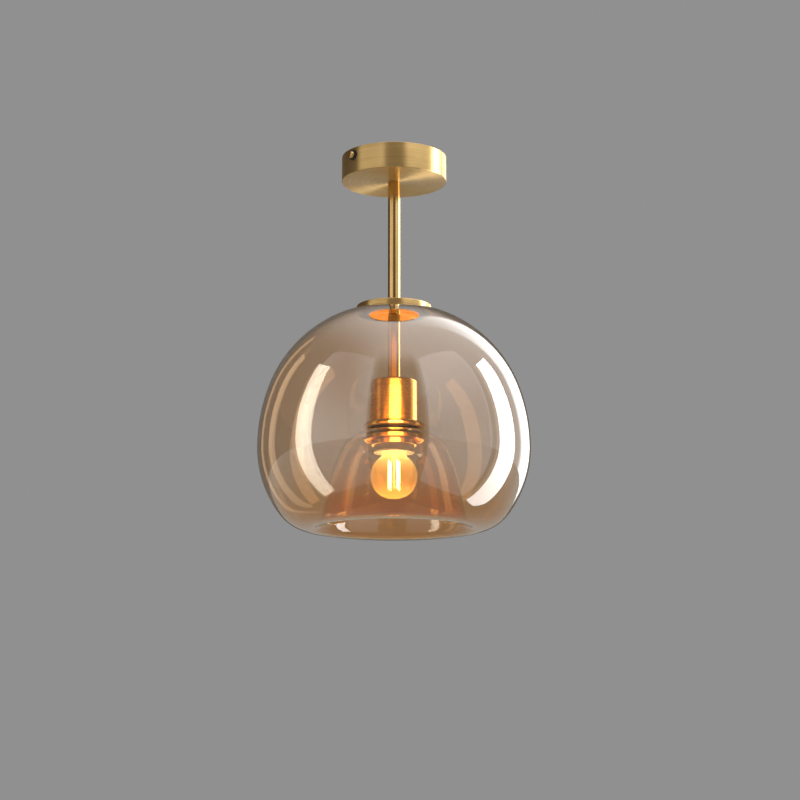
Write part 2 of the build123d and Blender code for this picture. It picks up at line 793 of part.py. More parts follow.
def bend_radii(points):
    """Give each corner of a route the largest arc that its two runs allow."""
    radii = []
    for before, corner, after in zip(points, points[1:], points[2:]):
        run_in = Vector(*corner) - Vector(*before)
        run_out = Vector(*after) - Vector(*corner)
        half_turn = math.radians(run_in.get_angle(run_out)) / 2
        shorter = min(run_in.length, run_out.length)
        radii.append(wire_bend_share * shorter / math.tan(half_turn))
    return radii


def bundle_place(angle):
    """Give the place of a wire in the bundle, seen from above."""
    turn = math.radians(angle)
    return wire_bundle_radius * math.cos(turn), wire_bundle_radius * math.sin(turn)


def lower_route(place, post):
    """Give the last points of a wire, from the lower nipple into its terminal post."""
    return [
        (*place, nipple_end - wire_drop_lead),
        (*post, post_top + wire_post_lead),
        (*post, post_top),
    ]


arch_level = canopy_floor + wire_arch_height
pole = block_pole_spacing / 2
live_place = bundle_place(30)
neutral_place = bundle_place(150)
earth_line = bundle_place(270)

wire_routes = {
    "live_wire": [
        (pole, block_face, entry_level),
        (pole, wire_landing, entry_level),
        (pole, wire_arch_reach, arch_level),
        (*live_place, arch_level),
        *lower_route(live_place, post_places[0]),
    ],
    "neutral_wire": [
        (-pole, block_face, entry_level),
        (-pole, wire_landing, entry_level),
        (-pole, wire_arch_reach, arch_level),
        (*neutral_place, arch_level),
        *lower_route(neutral_place, post_places[1]),
    ],
    "earth_wire": [
        (-earth_barrel_start, -wire_bundle_radius, barrel_level),
        (*earth_line, barrel_level),
        *lower_route(earth_line, post_places[2]),
    ],
}

for name, route in wire_routes.items():
    radii = bend_radii(route)
    with BuildPart() as wire:
        with BuildLine() as path:
            FilletPolyline(*route, radius=radii)
        line = path.wire()
        with BuildSketch(Plane(origin=line @ 0, z_dir=line % 0)):
            Circle(wire_radius)
        sweep()
    tube_volume = math.pi * wire_radius**2 * line.length
    print(f"{name}: length {line.length:.1f}, volume ratio {wire.part.volume / tube_volume:.4f}")
    print("  bend radii:", ", ".join(f"{radius:.1f}" for radius in radii))
    wire.part.label = name
    export_step(wire.part, f"parts/{name}.step")
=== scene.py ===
"""Looks of a semi flush ceiling light: a brass canopy, a short tube and a blown amber shade.

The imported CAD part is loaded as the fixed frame. The pieces that show are modelled again
here, in metres and in the frame's own place, and each rides on the body that it belongs to.
"""

import logging
import math
from dataclasses import dataclass, field
from enum import Enum

import bpy
from mathutils import Matrix, Vector


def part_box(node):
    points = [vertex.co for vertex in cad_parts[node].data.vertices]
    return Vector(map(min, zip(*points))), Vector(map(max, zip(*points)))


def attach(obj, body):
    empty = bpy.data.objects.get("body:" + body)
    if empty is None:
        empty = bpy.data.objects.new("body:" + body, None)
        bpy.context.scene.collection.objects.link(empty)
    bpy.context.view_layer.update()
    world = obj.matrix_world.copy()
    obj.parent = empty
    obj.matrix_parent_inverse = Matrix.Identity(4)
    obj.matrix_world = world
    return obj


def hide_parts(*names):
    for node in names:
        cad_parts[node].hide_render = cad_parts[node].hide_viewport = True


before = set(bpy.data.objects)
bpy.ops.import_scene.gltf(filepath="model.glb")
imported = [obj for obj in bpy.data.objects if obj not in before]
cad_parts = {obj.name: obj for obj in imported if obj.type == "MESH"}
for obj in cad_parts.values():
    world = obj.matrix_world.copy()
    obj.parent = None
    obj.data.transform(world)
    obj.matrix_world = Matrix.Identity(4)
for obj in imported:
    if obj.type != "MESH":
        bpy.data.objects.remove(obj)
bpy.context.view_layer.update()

log = logging.getLogger("ceiling_light")

MM = 0.001
FULL_TURN = 2 * math.pi
MERGE_DISTANCE = 1e-6

Point = tuple[float, float]
Corner = tuple[float, float, float]
Colour = tuple[float, float, float]
Limits = tuple[float, float]
Piece = bpy.types.Object
Material = bpy.types.Material
Socket = bpy.types.NodeSocket

# Bore of the tubes, and of the holes that the threaded nipples pass through.
NIPPLE_FIT = 5.05 * MM
# Pitch of the round thread on the bulb's cap and in the socket.
CAP_PITCH = 3.6 * MM


# Outlines ---------------------------------------------------------------------------


class Outline:
    """A pen that draws one half section as points of (radius, level), in metres."""

    SPACING = 2.4 * MM
    STEEPEST = math.radians(7)
    LEAST_STROKES = 3

    def __init__(self, radius: float, level: float) -> None:
        """Puts the pen down, heading straight outwards."""
        self.points: list[Point] = [(radius, level)]
        self.heading = 0.0

    @property
    def here(self) -> Point:
        """The pen's place."""
        return self.points[-1]

    def line(self, length: float) -> None:
        """Draws a straight stroke along the heading.

        Args:
            length: the stroke's length.
        """
        radius, level = self.here
        across, up = length * math.cos(self.heading), length * math.sin(self.heading)
        self.points.append((radius + across, level + up))

    def line_to(self, radius: float, level: float) -> None:
        """Draws a straight stroke to a point and takes its direction."""
        self.heading = math.atan2(level - self.here[1], radius - self.here[0])
        self.points.append((radius, level))

    def arc(self, bend: float, turn: float) -> None:
        """Draws an arc that leaves along the heading.

        Args:
            bend: the arc's radius.
            turn: the angle it turns through, in radians, to the left where positive.
        """
        inward = self.heading + math.copysign(math.pi / 2, turn)
        radius = self.here[0] + bend * math.cos(inward)
        level = self.here[1] + bend * math.sin(inward)
        longest = min(self.SPACING / bend, self.STEEPEST)
        strokes = max(self.LEAST_STROKES, math.ceil(abs(turn) / longest))
        for step in range(1, strokes + 1):
            angle = inward + math.pi + turn * step / strokes
            self.points.append((radius + bend * math.cos(angle), level + bend * math.sin(angle)))
        self.heading += turn

    def arc_to(self, radius: float, level: float) -> None:
        """Draws the arc that leaves along the heading and ends at a point.

        Args:
            radius: the point's distance from the axis.
            level: its height.
        """
        across, up = radius - self.here[0], level - self.here[1]
        half = math.remainder(math.atan2(up, across) - self.heading, FULL_TURN)
        self.arc(math.hypot(across, up) / (2 * math.sin(abs(half))), 2 * half)


def rounded(corners: list[Corner], strokes: int = 5) -> list[Point]:
    """Rounds the corners of a half section.

    Args:
        corners: (radius, level, rounding) of each corner, in order. With no rounding, it
            stays sharp.
        strokes: how many strokes draw each rounding.

    Returns:
        The points of the section.
    """
    points: list[Point] = []
    for index, (radius, level, rounding) in enumerate(corners):
        if rounding <= 0:
            points.append((radius, level))
            continue
        here = Vector((radius, level))
        back = (Vector(corners[index - 1][:2]) - here).normalized()
        ahead = (Vector(corners[(index + 1) % len(corners)][:2]) - here).normalized()
        half = back.angle(ahead) / 2
        reach = rounding / math.tan(half)
        centre = here + (back + ahead).normalized() * (rounding / math.sin(half))
        spoke = here + back * reach - centre
        swing = (here + ahead * reach - centre).angle_signed(spoke)
        for step in range(strokes + 1):
            points.append(tuple(centre + Matrix.Rotation(swing * step / strokes, 2) @ spoke))
    return points


@dataclass(frozen=True)
class Span:
    """Where a turned CAD node lies: its outer radius and its two levels."""

    radius: float
    low: float
    high: float

    @classmethod
    def of(cls, node: str) -> "Span":
        """Reads a node's place from the frame."""
        low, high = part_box(node)
        return cls(min(high.x, high.y, -low.x, -low.y), low.z, high.z)

    def ring(self, inner: float, edge: float, inner_edge: float, inset: float = 0.0) -> list[Point]:
        """Gives the section of a ring as high as the span.

        Args:
            inner: the ring's inner radius.
            edge: rounding of its outer edges.
            inner_edge: rounding of its inner edges.
            inset: how far it stays inside the span's radius.

        Returns:
            The points of the section.
        """
        outer = self.radius - inset
        return rounded([
            (inner, self.low, inner_edge),
            (inner, self.high, inner_edge),
            (outer, self.high, edge),
            (outer, self.low, edge),
        ])


@dataclass(frozen=True)
class Dish:
    """A turned dish, with a hole for a nipple through its closed face.

    The roundings are those of the hole inside and outside, the face's outer edge, the rim
    outside and inside, and the inner corner.
    """

    wall: float
    roundings: tuple[float, ...]
    opens_up: bool = False
    steps: int = 192

    def section(self, span: Span) -> list[Point]:
        """Gives the section of the dish that fills a span.

        Args:
            span: the node's place.

        Returns:
            The points of the section.
        """
        face, rim = (span.low, span.high) if self.opens_up else (span.high, span.low)
        within = face + math.copysign(self.wall, rim - face)
        outer, inner = span.radius, span.radius - self.wall
        places = (
            (NIPPLE_FIT, within), (NIPPLE_FIT, face), (outer, face),
            (outer, rim), (inner, rim), (inner, within),
        )
        return rounded([(*place, size) for place, size in zip(places, self.roundings)])


@dataclass(frozen=True)
class Thread:
    """A screw thread: its rise in one turn, and the wave of that turn as (radius, rise)."""

    pitch: float
    wave: list[Point]

    @classmethod
    def knuckle(cls, middle: float, depth: float, pitch: float, strokes: int = 8) -> "Thread":
        """Gives a round thread, as on a screw cap.

        Args:
            middle: the radius halfway between its crest and its root.
            depth: from its crest to its root.
            pitch: its rise in one turn.
            strokes: how many strokes draw the wave.

        Returns:
            The thread.
        """
        shares = [step / strokes for step in range(strokes + 1)]
        return cls(
            pitch, [(middle + depth / 2 * math.sin(FULL_TURN * share), pitch * share) for share in shares]
        )

    @classmethod
    def vee(cls, crest: float, root: float, pitch: float) -> "Thread":
        """Gives a sharp thread with flattened crests and roots.

        Args:
            crest: the crest's radius.
            root: the root's radius.
            pitch: its rise in one turn.

        Returns:
            The thread.
        """
        flat = pitch / 8
        rises = (0.0, pitch / 2 - flat, pitch / 2 + flat, pitch - flat, pitch)
        return cls(pitch, list(zip((root, crest, crest, root, root), rises)))


# Modelling --------------------------------------------------------------------------


class Bench:
    """Modelling steps that the sub-assemblies share."""

    THREAD_STEPS = 40
    BORE_STEPS = 48

    @staticmethod
    def clear() -> None:
        """Leaves edit mode and deselects everything."""
        if bpy.context.object and bpy.context.object.mode != "OBJECT":
            bpy.ops.object.mode_set(mode="OBJECT")
        bpy.ops.object.select_all(action="DESELECT")

    @staticmethod
    def pick(*pieces: Piece) -> None:
        """Selects these pieces alone and makes the first one active.

        Args:
            pieces: the pieces.
        """
        Bench.clear()
        for piece in pieces:
            piece.select_set(True)
        bpy.context.view_layer.objects.active = pieces[0]

    @staticmethod
    def begin(name: str) -> Piece:
        """Names the primitive just added and opens it in edit mode, all selected.

        Args:
            name: the piece's name.

        Returns:
            The piece.
        """
        piece = bpy.context.active_object
        piece.name = piece.data.name = name
        bpy.ops.object.mode_set(mode="EDIT")
        bpy.ops.mesh.select_mode(type="VERT")
        bpy.ops.mesh.select_all(action="SELECT")
        return piece

    @staticmethod
    def extrude(out: float, up: float) -> None:
        """Extrudes what is selected, outwards along x and upwards."""
        bpy.ops.mesh.extrude_region_move(TRANSFORM_OT_translate={"value": (out, 0, up)})

    @staticmethod
    def draw(name: str, points: list[Point], closed: bool) -> Piece:
        """Extrudes one point along a half section in the plane y = 0.

        Args:
            name: the piece's name.
            points: the section.
            closed: whether the section comes back to its first point.

        Returns:
            The piece, in edit mode with all selected.
        """
        Bench.clear()
        bpy.ops.mesh.primitive_plane_add(size=MM, location=(0, 0, 0))
        piece = Bench.begin(name)
        bpy.ops.mesh.merge(type="CENTER")
        bpy.ops.transform.translate(value=(points[0][0], 0, points[0][1]))
        route = [*points, points[0]] if closed else points
        for before, after in zip(route, route[1:]):
            Bench.extrude(after[0] - before[0], after[1] - before[1])
        bpy.ops.mesh.select_all(action="SELECT")
        bpy.ops.mesh.remove_doubles(threshold=MERGE_DISTANCE)
        return piece

    @staticmethod
    def turned(name: str, points: list[Point], steps: int, closed: bool = True) -> Piece:
        """Turns a half section about the light's axis, as on a lathe.

        Args:
            name: the piece's name.
            points: the section. An open one makes a skin, or a solid if it ends on the axis.
            steps: faces round the axis.
            closed: whether the section comes back to its first point.

        Returns:
            The piece in object mode.
        """
        piece = Bench.draw(name, points, closed)
        bpy.ops.mesh.spin(
            steps=steps, angle=FULL_TURN, use_auto_merge=True, center=(0, 0, 0), axis=(0, 0, 1)
        )
        Bench.join_up()
        return piece

    @staticmethod
    def join_up() -> None:
        """Merges doubles, turns the faces outwards and goes back to object mode."""
        bpy.ops.mesh.select_all(action="SELECT")
        bpy.ops.mesh.remove_doubles(threshold=MERGE_DISTANCE)
        bpy.ops.mesh.normals_make_consistent(inside=False)
        bpy.ops.object.mode_set(mode="OBJECT")

    @staticmethod
    def modify(piece: Piece, kind: str, **settings: object) -> None:
        """Adds a modifier, sets it and applies it.

        Args:
            piece: the piece.
            kind: the modifier's type.
            settings: the modifier's own settings.
        """
        Bench.pick(piece)
        modifier = piece.modifiers.new(kind.title(), kind)
        for key, value in settings.items():
            setattr(modifier, key, value)
        bpy.ops.object.modifier_apply(modifier=modifier.name)

    @staticmethod
    def join(name: str, *parts: Piece) -> Piece:
        """Joins several meshes into one piece.

        Args:
            name: the piece's name.
            parts: the meshes.

        Returns:
            The piece.
        """
        Bench.pick(*parts)
        bpy.ops.object.join()
        parts[0].name = parts[0].data.name = name
        return parts[0]

    @staticmethod
    def settle(piece: Piece) -> None:
        """Puts a piece's place and turn into its mesh."""
        Bench.pick(piece)
        bpy.ops.object.transform_apply(location=True, rotation=True, scale=True)

    @staticmethod
    def face_the_room(piece: Piece) -> None:
        """Turns a skin's faces round where its widest part looks inwards.

        Args:
            piece: the skin.
        """
        widest = max(piece.data.polygons, key=lambda face: Vector(face.center).xy.length)
        if Vector(widest.normal).xy.dot(Vector(widest.center).xy) < 0:
            Bench.pick(piece)
            bpy.ops.object.mode_set(mode="EDIT")
            bpy.ops.mesh.select_all(action="SELECT")
            bpy.ops.mesh.flip_normals()
            bpy.ops.object.mode_set(mode="OBJECT")

    @staticmethod
    def trim(level: float, keep_above: bool) -> None:
        """Cuts the open mesh flat at a level and drops what lies beyond it.

        Args:
            level: where it is cut.
            keep_above: whether the part above the cut stays.
        """
        bpy.ops.mesh.select_all(action="SELECT")
        bpy.ops.mesh.bisect(
            plane_co=(0, 0, level),
            plane_no=(0, 0, 1),
            clear_inner=keep_above,
            clear_outer=not keep_above,
            threshold=MERGE_DISTANCE,
        )

    @staticmethod
    def face_at(level: float) -> None:
        """Fills the ring between the two open loops that lie at a level.

        Args:
            level: the loops' height.
        """
        mesh = bpy.context.edit_object.data
        bpy.ops.mesh.select_all(action="DESELECT")
        bpy.ops.mesh.select_mode(type="EDGE")
        bpy.ops.mesh.select_non_manifold()
        bpy.ops.object.mode_set(mode="OBJECT")
        for edge in mesh.edges:
            if any(abs(mesh.vertices[end].co.z - level) > 0.01 * MM for end in edge.vertices):
                edge.select = False
        bpy.ops.object.mode_set(mode="EDIT")
        bpy.ops.mesh.fill(use_beauty=True)

    @staticmethod
    def helix(name: str, thread: Thread, low: float, high: float) -> Piece:
        """Winds a thread up a screw line and cuts both its ends flat.

        Args:
            name: the piece's name.
            thread: the thread.
            low: its lower end.
            high: its upper end.

        Returns:
            The thread as an open skin, in object mode.
        """
        pitch = thread.pitch
        start = low - 1.5 * pitch
        piece = Bench.draw(name, [(radius, start + rise) for radius, rise in thread.wave], False)
        Bench.modify(
            piece,
            "SCREW",
            axis="Z",
            angle=FULL_TURN,
            screw_offset=pitch,
            iterations=math.ceil((high - low) / pitch) + 3,
            steps=Bench.THREAD_STEPS,
            render_steps=Bench.THREAD_STEPS,
            use_merge_vertices=True,
            merge_threshold=MERGE_DISTANCE,
        )
        bpy.ops.object.mode_set(mode="EDIT")
        Bench.trim(low, keep_above=True)
        Bench.trim(high, keep_above=False)
        Bench.join_up()
        return piece

    @staticmethod
    def threaded_tube(name: str, thread: Thread, low: float, high: float, bore: float) -> Piece:
        """Makes a tube with a thread outside and a plain bore.

        Args:
            name: the piece's name.
            thread: the thread.
            low: the tube's lower end.
            high: its upper end.
            bore: the bore's radius.

        Returns:
            The tube in object mode.
        """
        skin = Bench.helix(name, thread, low, high)
        lining = Bench.turned(f"{name}_bore", [(bore, low), (bore, high)], Bench.BORE_STEPS, closed=False)
        piece = Bench.join(name, skin, lining)
        bpy.ops.object.mode_set(mode="EDIT")
        Bench.face_at(low)
        Bench.face_at(high)
        Bench.join_up()
        return piece


# Shader maths -----------------------------------------------------------------------


class Value:
    """One number socket, with operators that add Math nodes."""

    def __init__(self, board: "Board", socket: Socket) -> None:
        """Wraps a socket of a board's node."""
        self.board = board
        self.socket = socket

    def __add__(self, other: "Value | float") -> "Value":
        """Adds."""
        return self.board.maths("ADD", self, other)

    __radd__ = __add__

    def __mul__(self, other: "Value | float") -> "Value":
        """Multiplies."""
        return self.board.maths("MULTIPLY", self, other)

    __rmul__ = __mul__

    def __sub__(self, other: "Value | float") -> "Value":
        """Takes the other away."""
        return self.board.maths("SUBTRACT", self, other)

    def __rsub__(self, other: "Value | float") -> "Value":
        """Takes this value away from the other."""
        return self.board.maths("SUBTRACT", other, self)

    def __pow__(self, other: "Value | float") -> "Value":
        """Raises to a power."""
        return self.board.maths("POWER", self, other)

    def __abs__(self) -> "Value":
        """Drops the sign."""
        return self.board.maths("ABSOLUTE", self)

    def wave(self) -> "Value":
        """Gives the sine, from -1 to 1."""
        return self.board.maths("SINE", self)

    def ramp(self, low: float, high: float) -> "Value":
        """Rises smoothly from 0 at low to 1 at high.

        Args:
            low: where it starts to rise.
            high: where it reaches 1.

        Returns:
            The value between 0 and 1.
        """
        made = self.board.node(
            "ShaderNodeMapRange",
            {"interpolation_type": "SMOOTHSTEP"},
            {"Value": self, "From Min": low, "From Max": high},
        )
        return Value(self.board, made.outputs["Result"])


class Board:
    """The nodes of one material or of the world."""

    def __init__(self, owner: Material | bpy.types.World) -> None:
        """Clears the owner's nodes and keeps its tree.

        Args:
            owner: the material or world.
        """
        owner.use_nodes = True
        self.owner = owner
        self.tree = owner.node_tree
        self.tree.nodes.clear()

    def node(self, kind: str, settings: dict | None = None, sockets: dict | None = None) -> bpy.types.Node:
        """Adds any node.

        Args:
            kind: the node's type.
            settings: its own settings.
            sockets: a value or a link for each input, by name or number.

        Returns:
            The node.
        """
        made = self.tree.nodes.new(kind)
        for key, value in (settings or {}).items():
            setattr(made, key, value)
        for key, value in (sockets or {}).items():
            socket = made.inputs[key]
            source = value.socket if isinstance(value, Value) else value
            if isinstance(source, Socket):
                self.tree.links.new(source, socket)
            elif socket.type == "RGBA" and len(source) == 3:
                socket.default_value = (*source, 1.0)
            else:
                socket.default_value = source
        return made

    def maths(self, operation: str, *values: Value | float) -> Value:
        """Adds a Math node and gives its result."""
        made = self.node("ShaderNodeMath", {"operation": operation}, dict(enumerate(values)))
        return Value(self, made.outputs[0])

    def place(self) -> Socket:
        """Gives the point in the piece's own coordinates."""
        return self.node("ShaderNodeTexCoord").outputs["Object"]

    def axes(self) -> tuple[Value, Value, Value]:
        """Gives the point's x, y and z."""
        made = self.node("ShaderNodeSeparateXYZ", None, {"Vector": self.place()})
        return tuple(Value(self, made.outputs[axis]) for axis in "XYZ")

    def vector(self, x: Value | float, y: Value | float, z: Value | float) -> Socket:
        """Joins three numbers into a vector."""
        made = self.node("ShaderNodeCombineXYZ", None, {"X": x, "Y": y, "Z": z})
        return made.outputs["Vector"]

    def noise(self, scale: float, detail: float = 2.0, place: Socket | None = None) -> Value:
        """Gives soft noise from 0 to 1, with its scale in cells to the metre.

        Args:
            scale: cells to the metre.
            detail: how many finer layers it has.
            place: where it is read, or nothing for the piece's own place.

        Returns:
            The noise.
        """
        made = self.node(
            "ShaderNodeTexNoise",
            {"noise_dimensions": "3D"},
            {"Vector": place or self.place(), "Scale": scale, "Detail": detail},
        )
        return Value(self, made.outputs["Fac"])

    def mix(self, amount: Value | float, first: Colour | Socket, second: Colour | Socket) -> Socket:
        """Blends two colours."""
        made = self.node("ShaderNodeMix", {"data_type": "RGBA"}, {0: amount, 6: first, 7: second})
        return made.outputs[2]

    def along(self, aim: Socket, axis: Vector) -> Value:
        """Gives how far a direction points along an axis, from -1 to 1."""
        made = self.node("ShaderNodeVectorMath", {"operation": "DOT_PRODUCT"}, {0: aim, 1: tuple(axis)})
        return Value(self, made.outputs["Value"])

    def bump(self, height: Value, distance: float, strength: float) -> Socket:
        """Turns a height into a normal, with the height's full swing in metres."""
        sockets = {"Height": height, "Distance": distance, "Strength": strength}
        return self.node("ShaderNodeBump", None, sockets).outputs["Normal"]

    def surface(self, sockets: dict[str, object]) -> Material:
        """Ends the material in a Principled BSDF, with a value or a link for its inputs.

        Args:
            sockets: the shader's inputs by name.

        Returns:
            The finished material.
        """
        shader = self.node("ShaderNodeBsdfPrincipled", None, sockets)
        self.node("ShaderNodeOutputMaterial", None, {"Surface": shader.outputs["BSDF"]})
        return self.owner


# Finishes ---------------------------------------------------------------------------


class Grain(Enum):
    """Which way the brushing runs on a turned piece."""

    AROUND = "around"
    ALONG = "along"


@dataclass(frozen=True)
class Finish:
    """A named finish, made once and shared by its pieces."""

    name: str
    slot: str

    def material(self) -> Material:
        """Gives the finish's material, and makes it the first time."""
        found = bpy.data.materials.get(self.name)
        return found or self.paint(Board(bpy.data.materials.new(self.name)))

    def paint(self, board: Board) -> Material:
        """Builds the nodes."""
        raise NotImplementedError

    def dress(self, piece: Piece) -> None:
        """Gives a piece this finish all over.

        Args:
            piece: the piece, or a CAD node's object.
        """
        for index in range(len(piece.data.materials)):
            piece.data.materials[index] = self.material()
        if not piece.data.materials:
            piece.data.materials.append(self.material())


@dataclass(frozen=True)
class Brass(Finish):
    """Lacquered brass with fine turning or drawing lines."""

    grain: Grain = Grain.AROUND
    light: Colour = (0.77, 0.53, 0.225)
    deep: Colour = (0.65, 0.42, 0.16)
    roughness: float = 0.27
    stretch: float = 0.55
    lines: float = 0.35

    def paint(self, board: Board) -> Material:
        """Lines run round the axis or along it, over a faint cloud of darker metal.

        Args:
            board: the material's empty board.

        Returns:
            The material.
        """
        x, y, z = board.axes()
        out = (x * x + y * y) ** 0.5
        angle = board.maths("ARCTAN2", y, x)
        if self.grain is Grain.AROUND:
            fine = board.vector(out * 5200, z * 5200, angle * 1.5)
            broad = board.vector(out * 700, z * 700, angle * 0.6)
        else:
            fine = board.vector(angle * 46, out * 400, z * 40)
            broad = board.vector(angle * 9, out * 60, z * 12)
        hair = board.noise(1.0, 3.0, fine)
        streak = board.noise(1.0, 2.0, broad)
        cloud = board.noise(38.0, 3.0)
        shade = (streak * 0.6 + cloud * 0.4).ramp(0.35, 0.7)
        return board.surface({
            "Base Color": board.mix(shade, self.light, self.deep),
            "Metallic": 1.0,
            "Roughness": hair * 0.10 + cloud * 0.06 + (self.roughness - 0.08),
            "Anisotropic": self.stretch,
            "Anisotropic Rotation": 0.25 if self.grain is Grain.AROUND else 0.0,
            "Normal": board.bump(hair, 0.02 * MM, self.lines),
        })


@dataclass(frozen=True)
class Plate(Finish):
    """A plated or bare metal with faint mottling."""

    light: Colour = (0.62, 0.63, 0.64)
    deep: Colour = (0.42, 0.43, 0.46)
    roughness: float = 0.32
    cells: float = 420.0
    scratches: float = 6000.0

    def paint(self, board: Board) -> Material:
        """Mottled colour and roughness, with fine scratches.

        Args:
            board: the material's empty board.

        Returns:
            The material.
        """
        patch = board.noise(self.cells, 4.0)
        grit = board.noise(self.scratches)
        return board.surface({
            "Base Color": board.mix(patch.ramp(0.3, 0.75), self.light, self.deep),
            "Metallic": 1.0,
            "Roughness": patch * 0.22 + (self.roughness - 0.1),
            "Normal": board.bump(grit, 0.015 * MM, 0.35),
        })


@dataclass(frozen=True)
class Moulded(Finish):
    """Rubber, plastic or another moulded material."""

    light: Colour
    deep: Colour
    roughness: float
    grit: float = 2600.0
    relief: float = 0.03 * MM

    def paint(self, board: Board) -> Material:
        """Fine moulded grain with slow changes of tone.

        Args:
            board: the material's empty board.

        Returns:
            The material.
        """
        tone = board.noise(120.0, 3.0)
        grain = board.noise(self.grit, 3.0)
        return board.surface({
            "Base Color": board.mix(tone.ramp(0.3, 0.7), self.light, self.deep),
            "Roughness": grain * 0.16 + (self.roughness - 0.08),
            "Normal": board.bump(grain, self.relief, 0.5),
        })


@dataclass(frozen=True)
class Glass(Finish):
    """Blown glass, tinted through and faintly uneven."""

    tint: Colour = (0.98, 0.97, 0.94)
    deep: Colour = (0.95, 0.94, 0.90)
    index: float = 1.5
    ripple: float = 0.05 * MM

    def colour(self, board: Board) -> Socket:
        """Gives the tint, which deepens in soft clouds."""
        return board.mix(board.noise(16.0).ramp(0.3, 0.75), self.tint, self.deep)

    def extras(self, board: Board) -> dict[str, object]:
        """Gives the sockets that only some glasses use."""
        return {}

    def paint(self, board: Board) -> Material:
        """A clear tinted body under a surface with slow ripples.

        Args:
            board: the material's empty board.

        Returns:
            The material.
        """
        return board.surface({
            "Base Color": self.colour(board),
            "Roughness": 0.0,
            "IOR": self.index,
            "Transmission Weight": 1.0,
            "Normal": board.bump(board.noise(34.0, 1.0), self.ripple, 0.25),
            **self.extras(board),
        })


@dataclass(frozen=True)
class LustreGlass(Glass):
    """Glass under a thin lustre: deeper and less lustrous low down, and paler in the bell."""

    bell: Colour = (0.985, 0.89, 0.78)
    bell_radius: float = 68.0 * MM
    bell_top: float = -272.0 * MM
    bell_blur: float = 4.0 * MM
    foot_tint: Colour = (0.95, 0.61, 0.27)
    foot_levels: Limits = (-366.0 * MM, -305.0 * MM)
    lustre_index: float = 1.7
    least_lustre: float = 0.3

    def colour(self, board: Board) -> Socket:
        """Gives the tint, which is deeper at the foot and paler in the bell.

        Args:
            board: the material's board.

        Returns:
            The colour's socket.
        """
        x, y, z = board.axes()
        out = (x * x + y * y) ** 0.5
        beyond = out.ramp(self.bell_radius - self.bell_blur, self.bell_radius + self.bell_blur)
        above = z.ramp(self.bell_top - self.bell_blur, self.bell_top + self.bell_blur)
        inside = (1.0 - beyond) * (1.0 - above)
        body = board.mix(inside, super().colour(board), self.bell)
        return board.mix(z.ramp(*self.foot_levels), self.foot_tint, body)

    def extras(self, board: Board) -> dict[str, object]:
        """Gives the lustre as a coat.

        Args:
            board: the material's board.

        Returns:
            The coat's sockets.
        """
        _, _, z = board.axes()
        cover = z.ramp(*self.foot_levels) * (1.0 - self.least_lustre)
        return {
            "Coat Weight": cover + self.least_lustre,
            "Coat IOR": self.lustre_index,
            "Coat Roughness": 0.0,
        }


@dataclass(frozen=True)
class LitGlass(Glass):
    """Glass that shines with the light of the filaments, most at its two ends."""

    middle: float = -315.9 * MM
    reach: float = 22.5 * MM
    glow: Colour = (0.21, 0.145, 0.045)
    glow_end: Colour = (0.60, 0.52, 0.22)

    def extras(self, board: Board) -> dict[str, object]:
        """Gives the shine.

        Args:
            board: the material's board.

        Returns:
            The emission's sockets.
        """
        _, _, z = board.axes()
        away = abs(z - self.middle).ramp(0.2 * self.reach, self.reach)
        return {
            "Emission Color": board.mix(away, self.glow, self.glow_end),
            "Emission Strength": 1.0,
        }


@dataclass(frozen=True)
class Phosphor(Finish):
    """The lit coating of a filament bar."""

    light: Colour = (0.9, 0.62, 0.2)
    deep: Colour = (0.8, 0.5, 0.12)
    glow: Colour = (1.0, 0.95, 0.88)
    glow_dim: Colour = (1.0, 0.90, 0.76)
    strength: float = 12.0

    def paint(self, board: Board) -> Material:
        """Glows a little less evenly than a lamp, in small grains.

        Args:
            board: the material's empty board.

        Returns:
            The material.
        """
        grain = board.noise(2400.0)
        return board.surface({
            "Base Color": board.mix(grain.ramp(0.3, 0.7), self.light, self.deep),
            "Roughness": 0.6,
            "Emission Color": board.mix(grain.ramp(0.2, 0.8), self.glow, self.glow_dim),
            "Emission Strength": self.strength,
        })


@dataclass(frozen=True)
class Sleeve(Finish):
    """Wire insulation, plain or with a second colour in bands."""

    light: Colour = (0.2, 0.09, 0.04)
    band: Colour | None = None

    def paint(self, board: Board) -> Material:
        """Smooth plastic, with slanting bands where it has two colours.

        Args:
            board: the material's empty board.

        Returns:
            The material.
        """
        x, _, z = board.axes()
        tone = board.noise(300.0)
        colour = board.mix(tone, self.light, tuple(0.8 * part for part in self.light))
        if self.band:
            stripe = ((z + x * 2.0) * 1400).wave().ramp(-0.15, 0.15)
            colour = board.mix(stripe, colour, self.band)
        return board.surface({
            "Base Color": colour,
            "Roughness": tone * 0.1 + 0.35,
            "Normal": board.bump(tone, 0.02 * MM, 0.3),
        })


BRUSHED = Brass("brushed_brass_turned", "brushed_brass", roughness=0.36, stretch=0.92)
SPUN = Brass("brushed_brass_cup", "brushed_brass", light=(0.80, 0.47, 0.15), deep=(0.68, 0.36, 0.10))
DRAWN = Brass("brushed_brass_drawn", "brushed_brass", grain=Grain.ALONG, roughness=0.2, stretch=0.0)
POLISHED = Brass("polished_brass_turned", "polished_brass", roughness=0.15, stretch=0.3, lines=0.15)
CONTACT = Plate("contact_brass", "contact_brass", (0.80, 0.58, 0.27), (0.62, 0.40, 0.16), 0.3)
CAP_BRASS = Plate("bulb_cap_metal", "bulb_cap_brass", (0.82, 0.62, 0.33), (0.70, 0.50, 0.24), 0.26)
ZINC = Plate("zinc_plated_steel", "zinc_steel")
SOLDER = Plate("solder_tin", "solder", (0.66, 0.66, 0.65), (0.5, 0.5, 0.5), 0.4)
WIRE = Plate("support_nickel", "support_wire", (0.7, 0.68, 0.64), (0.5, 0.48, 0.44), 0.3)
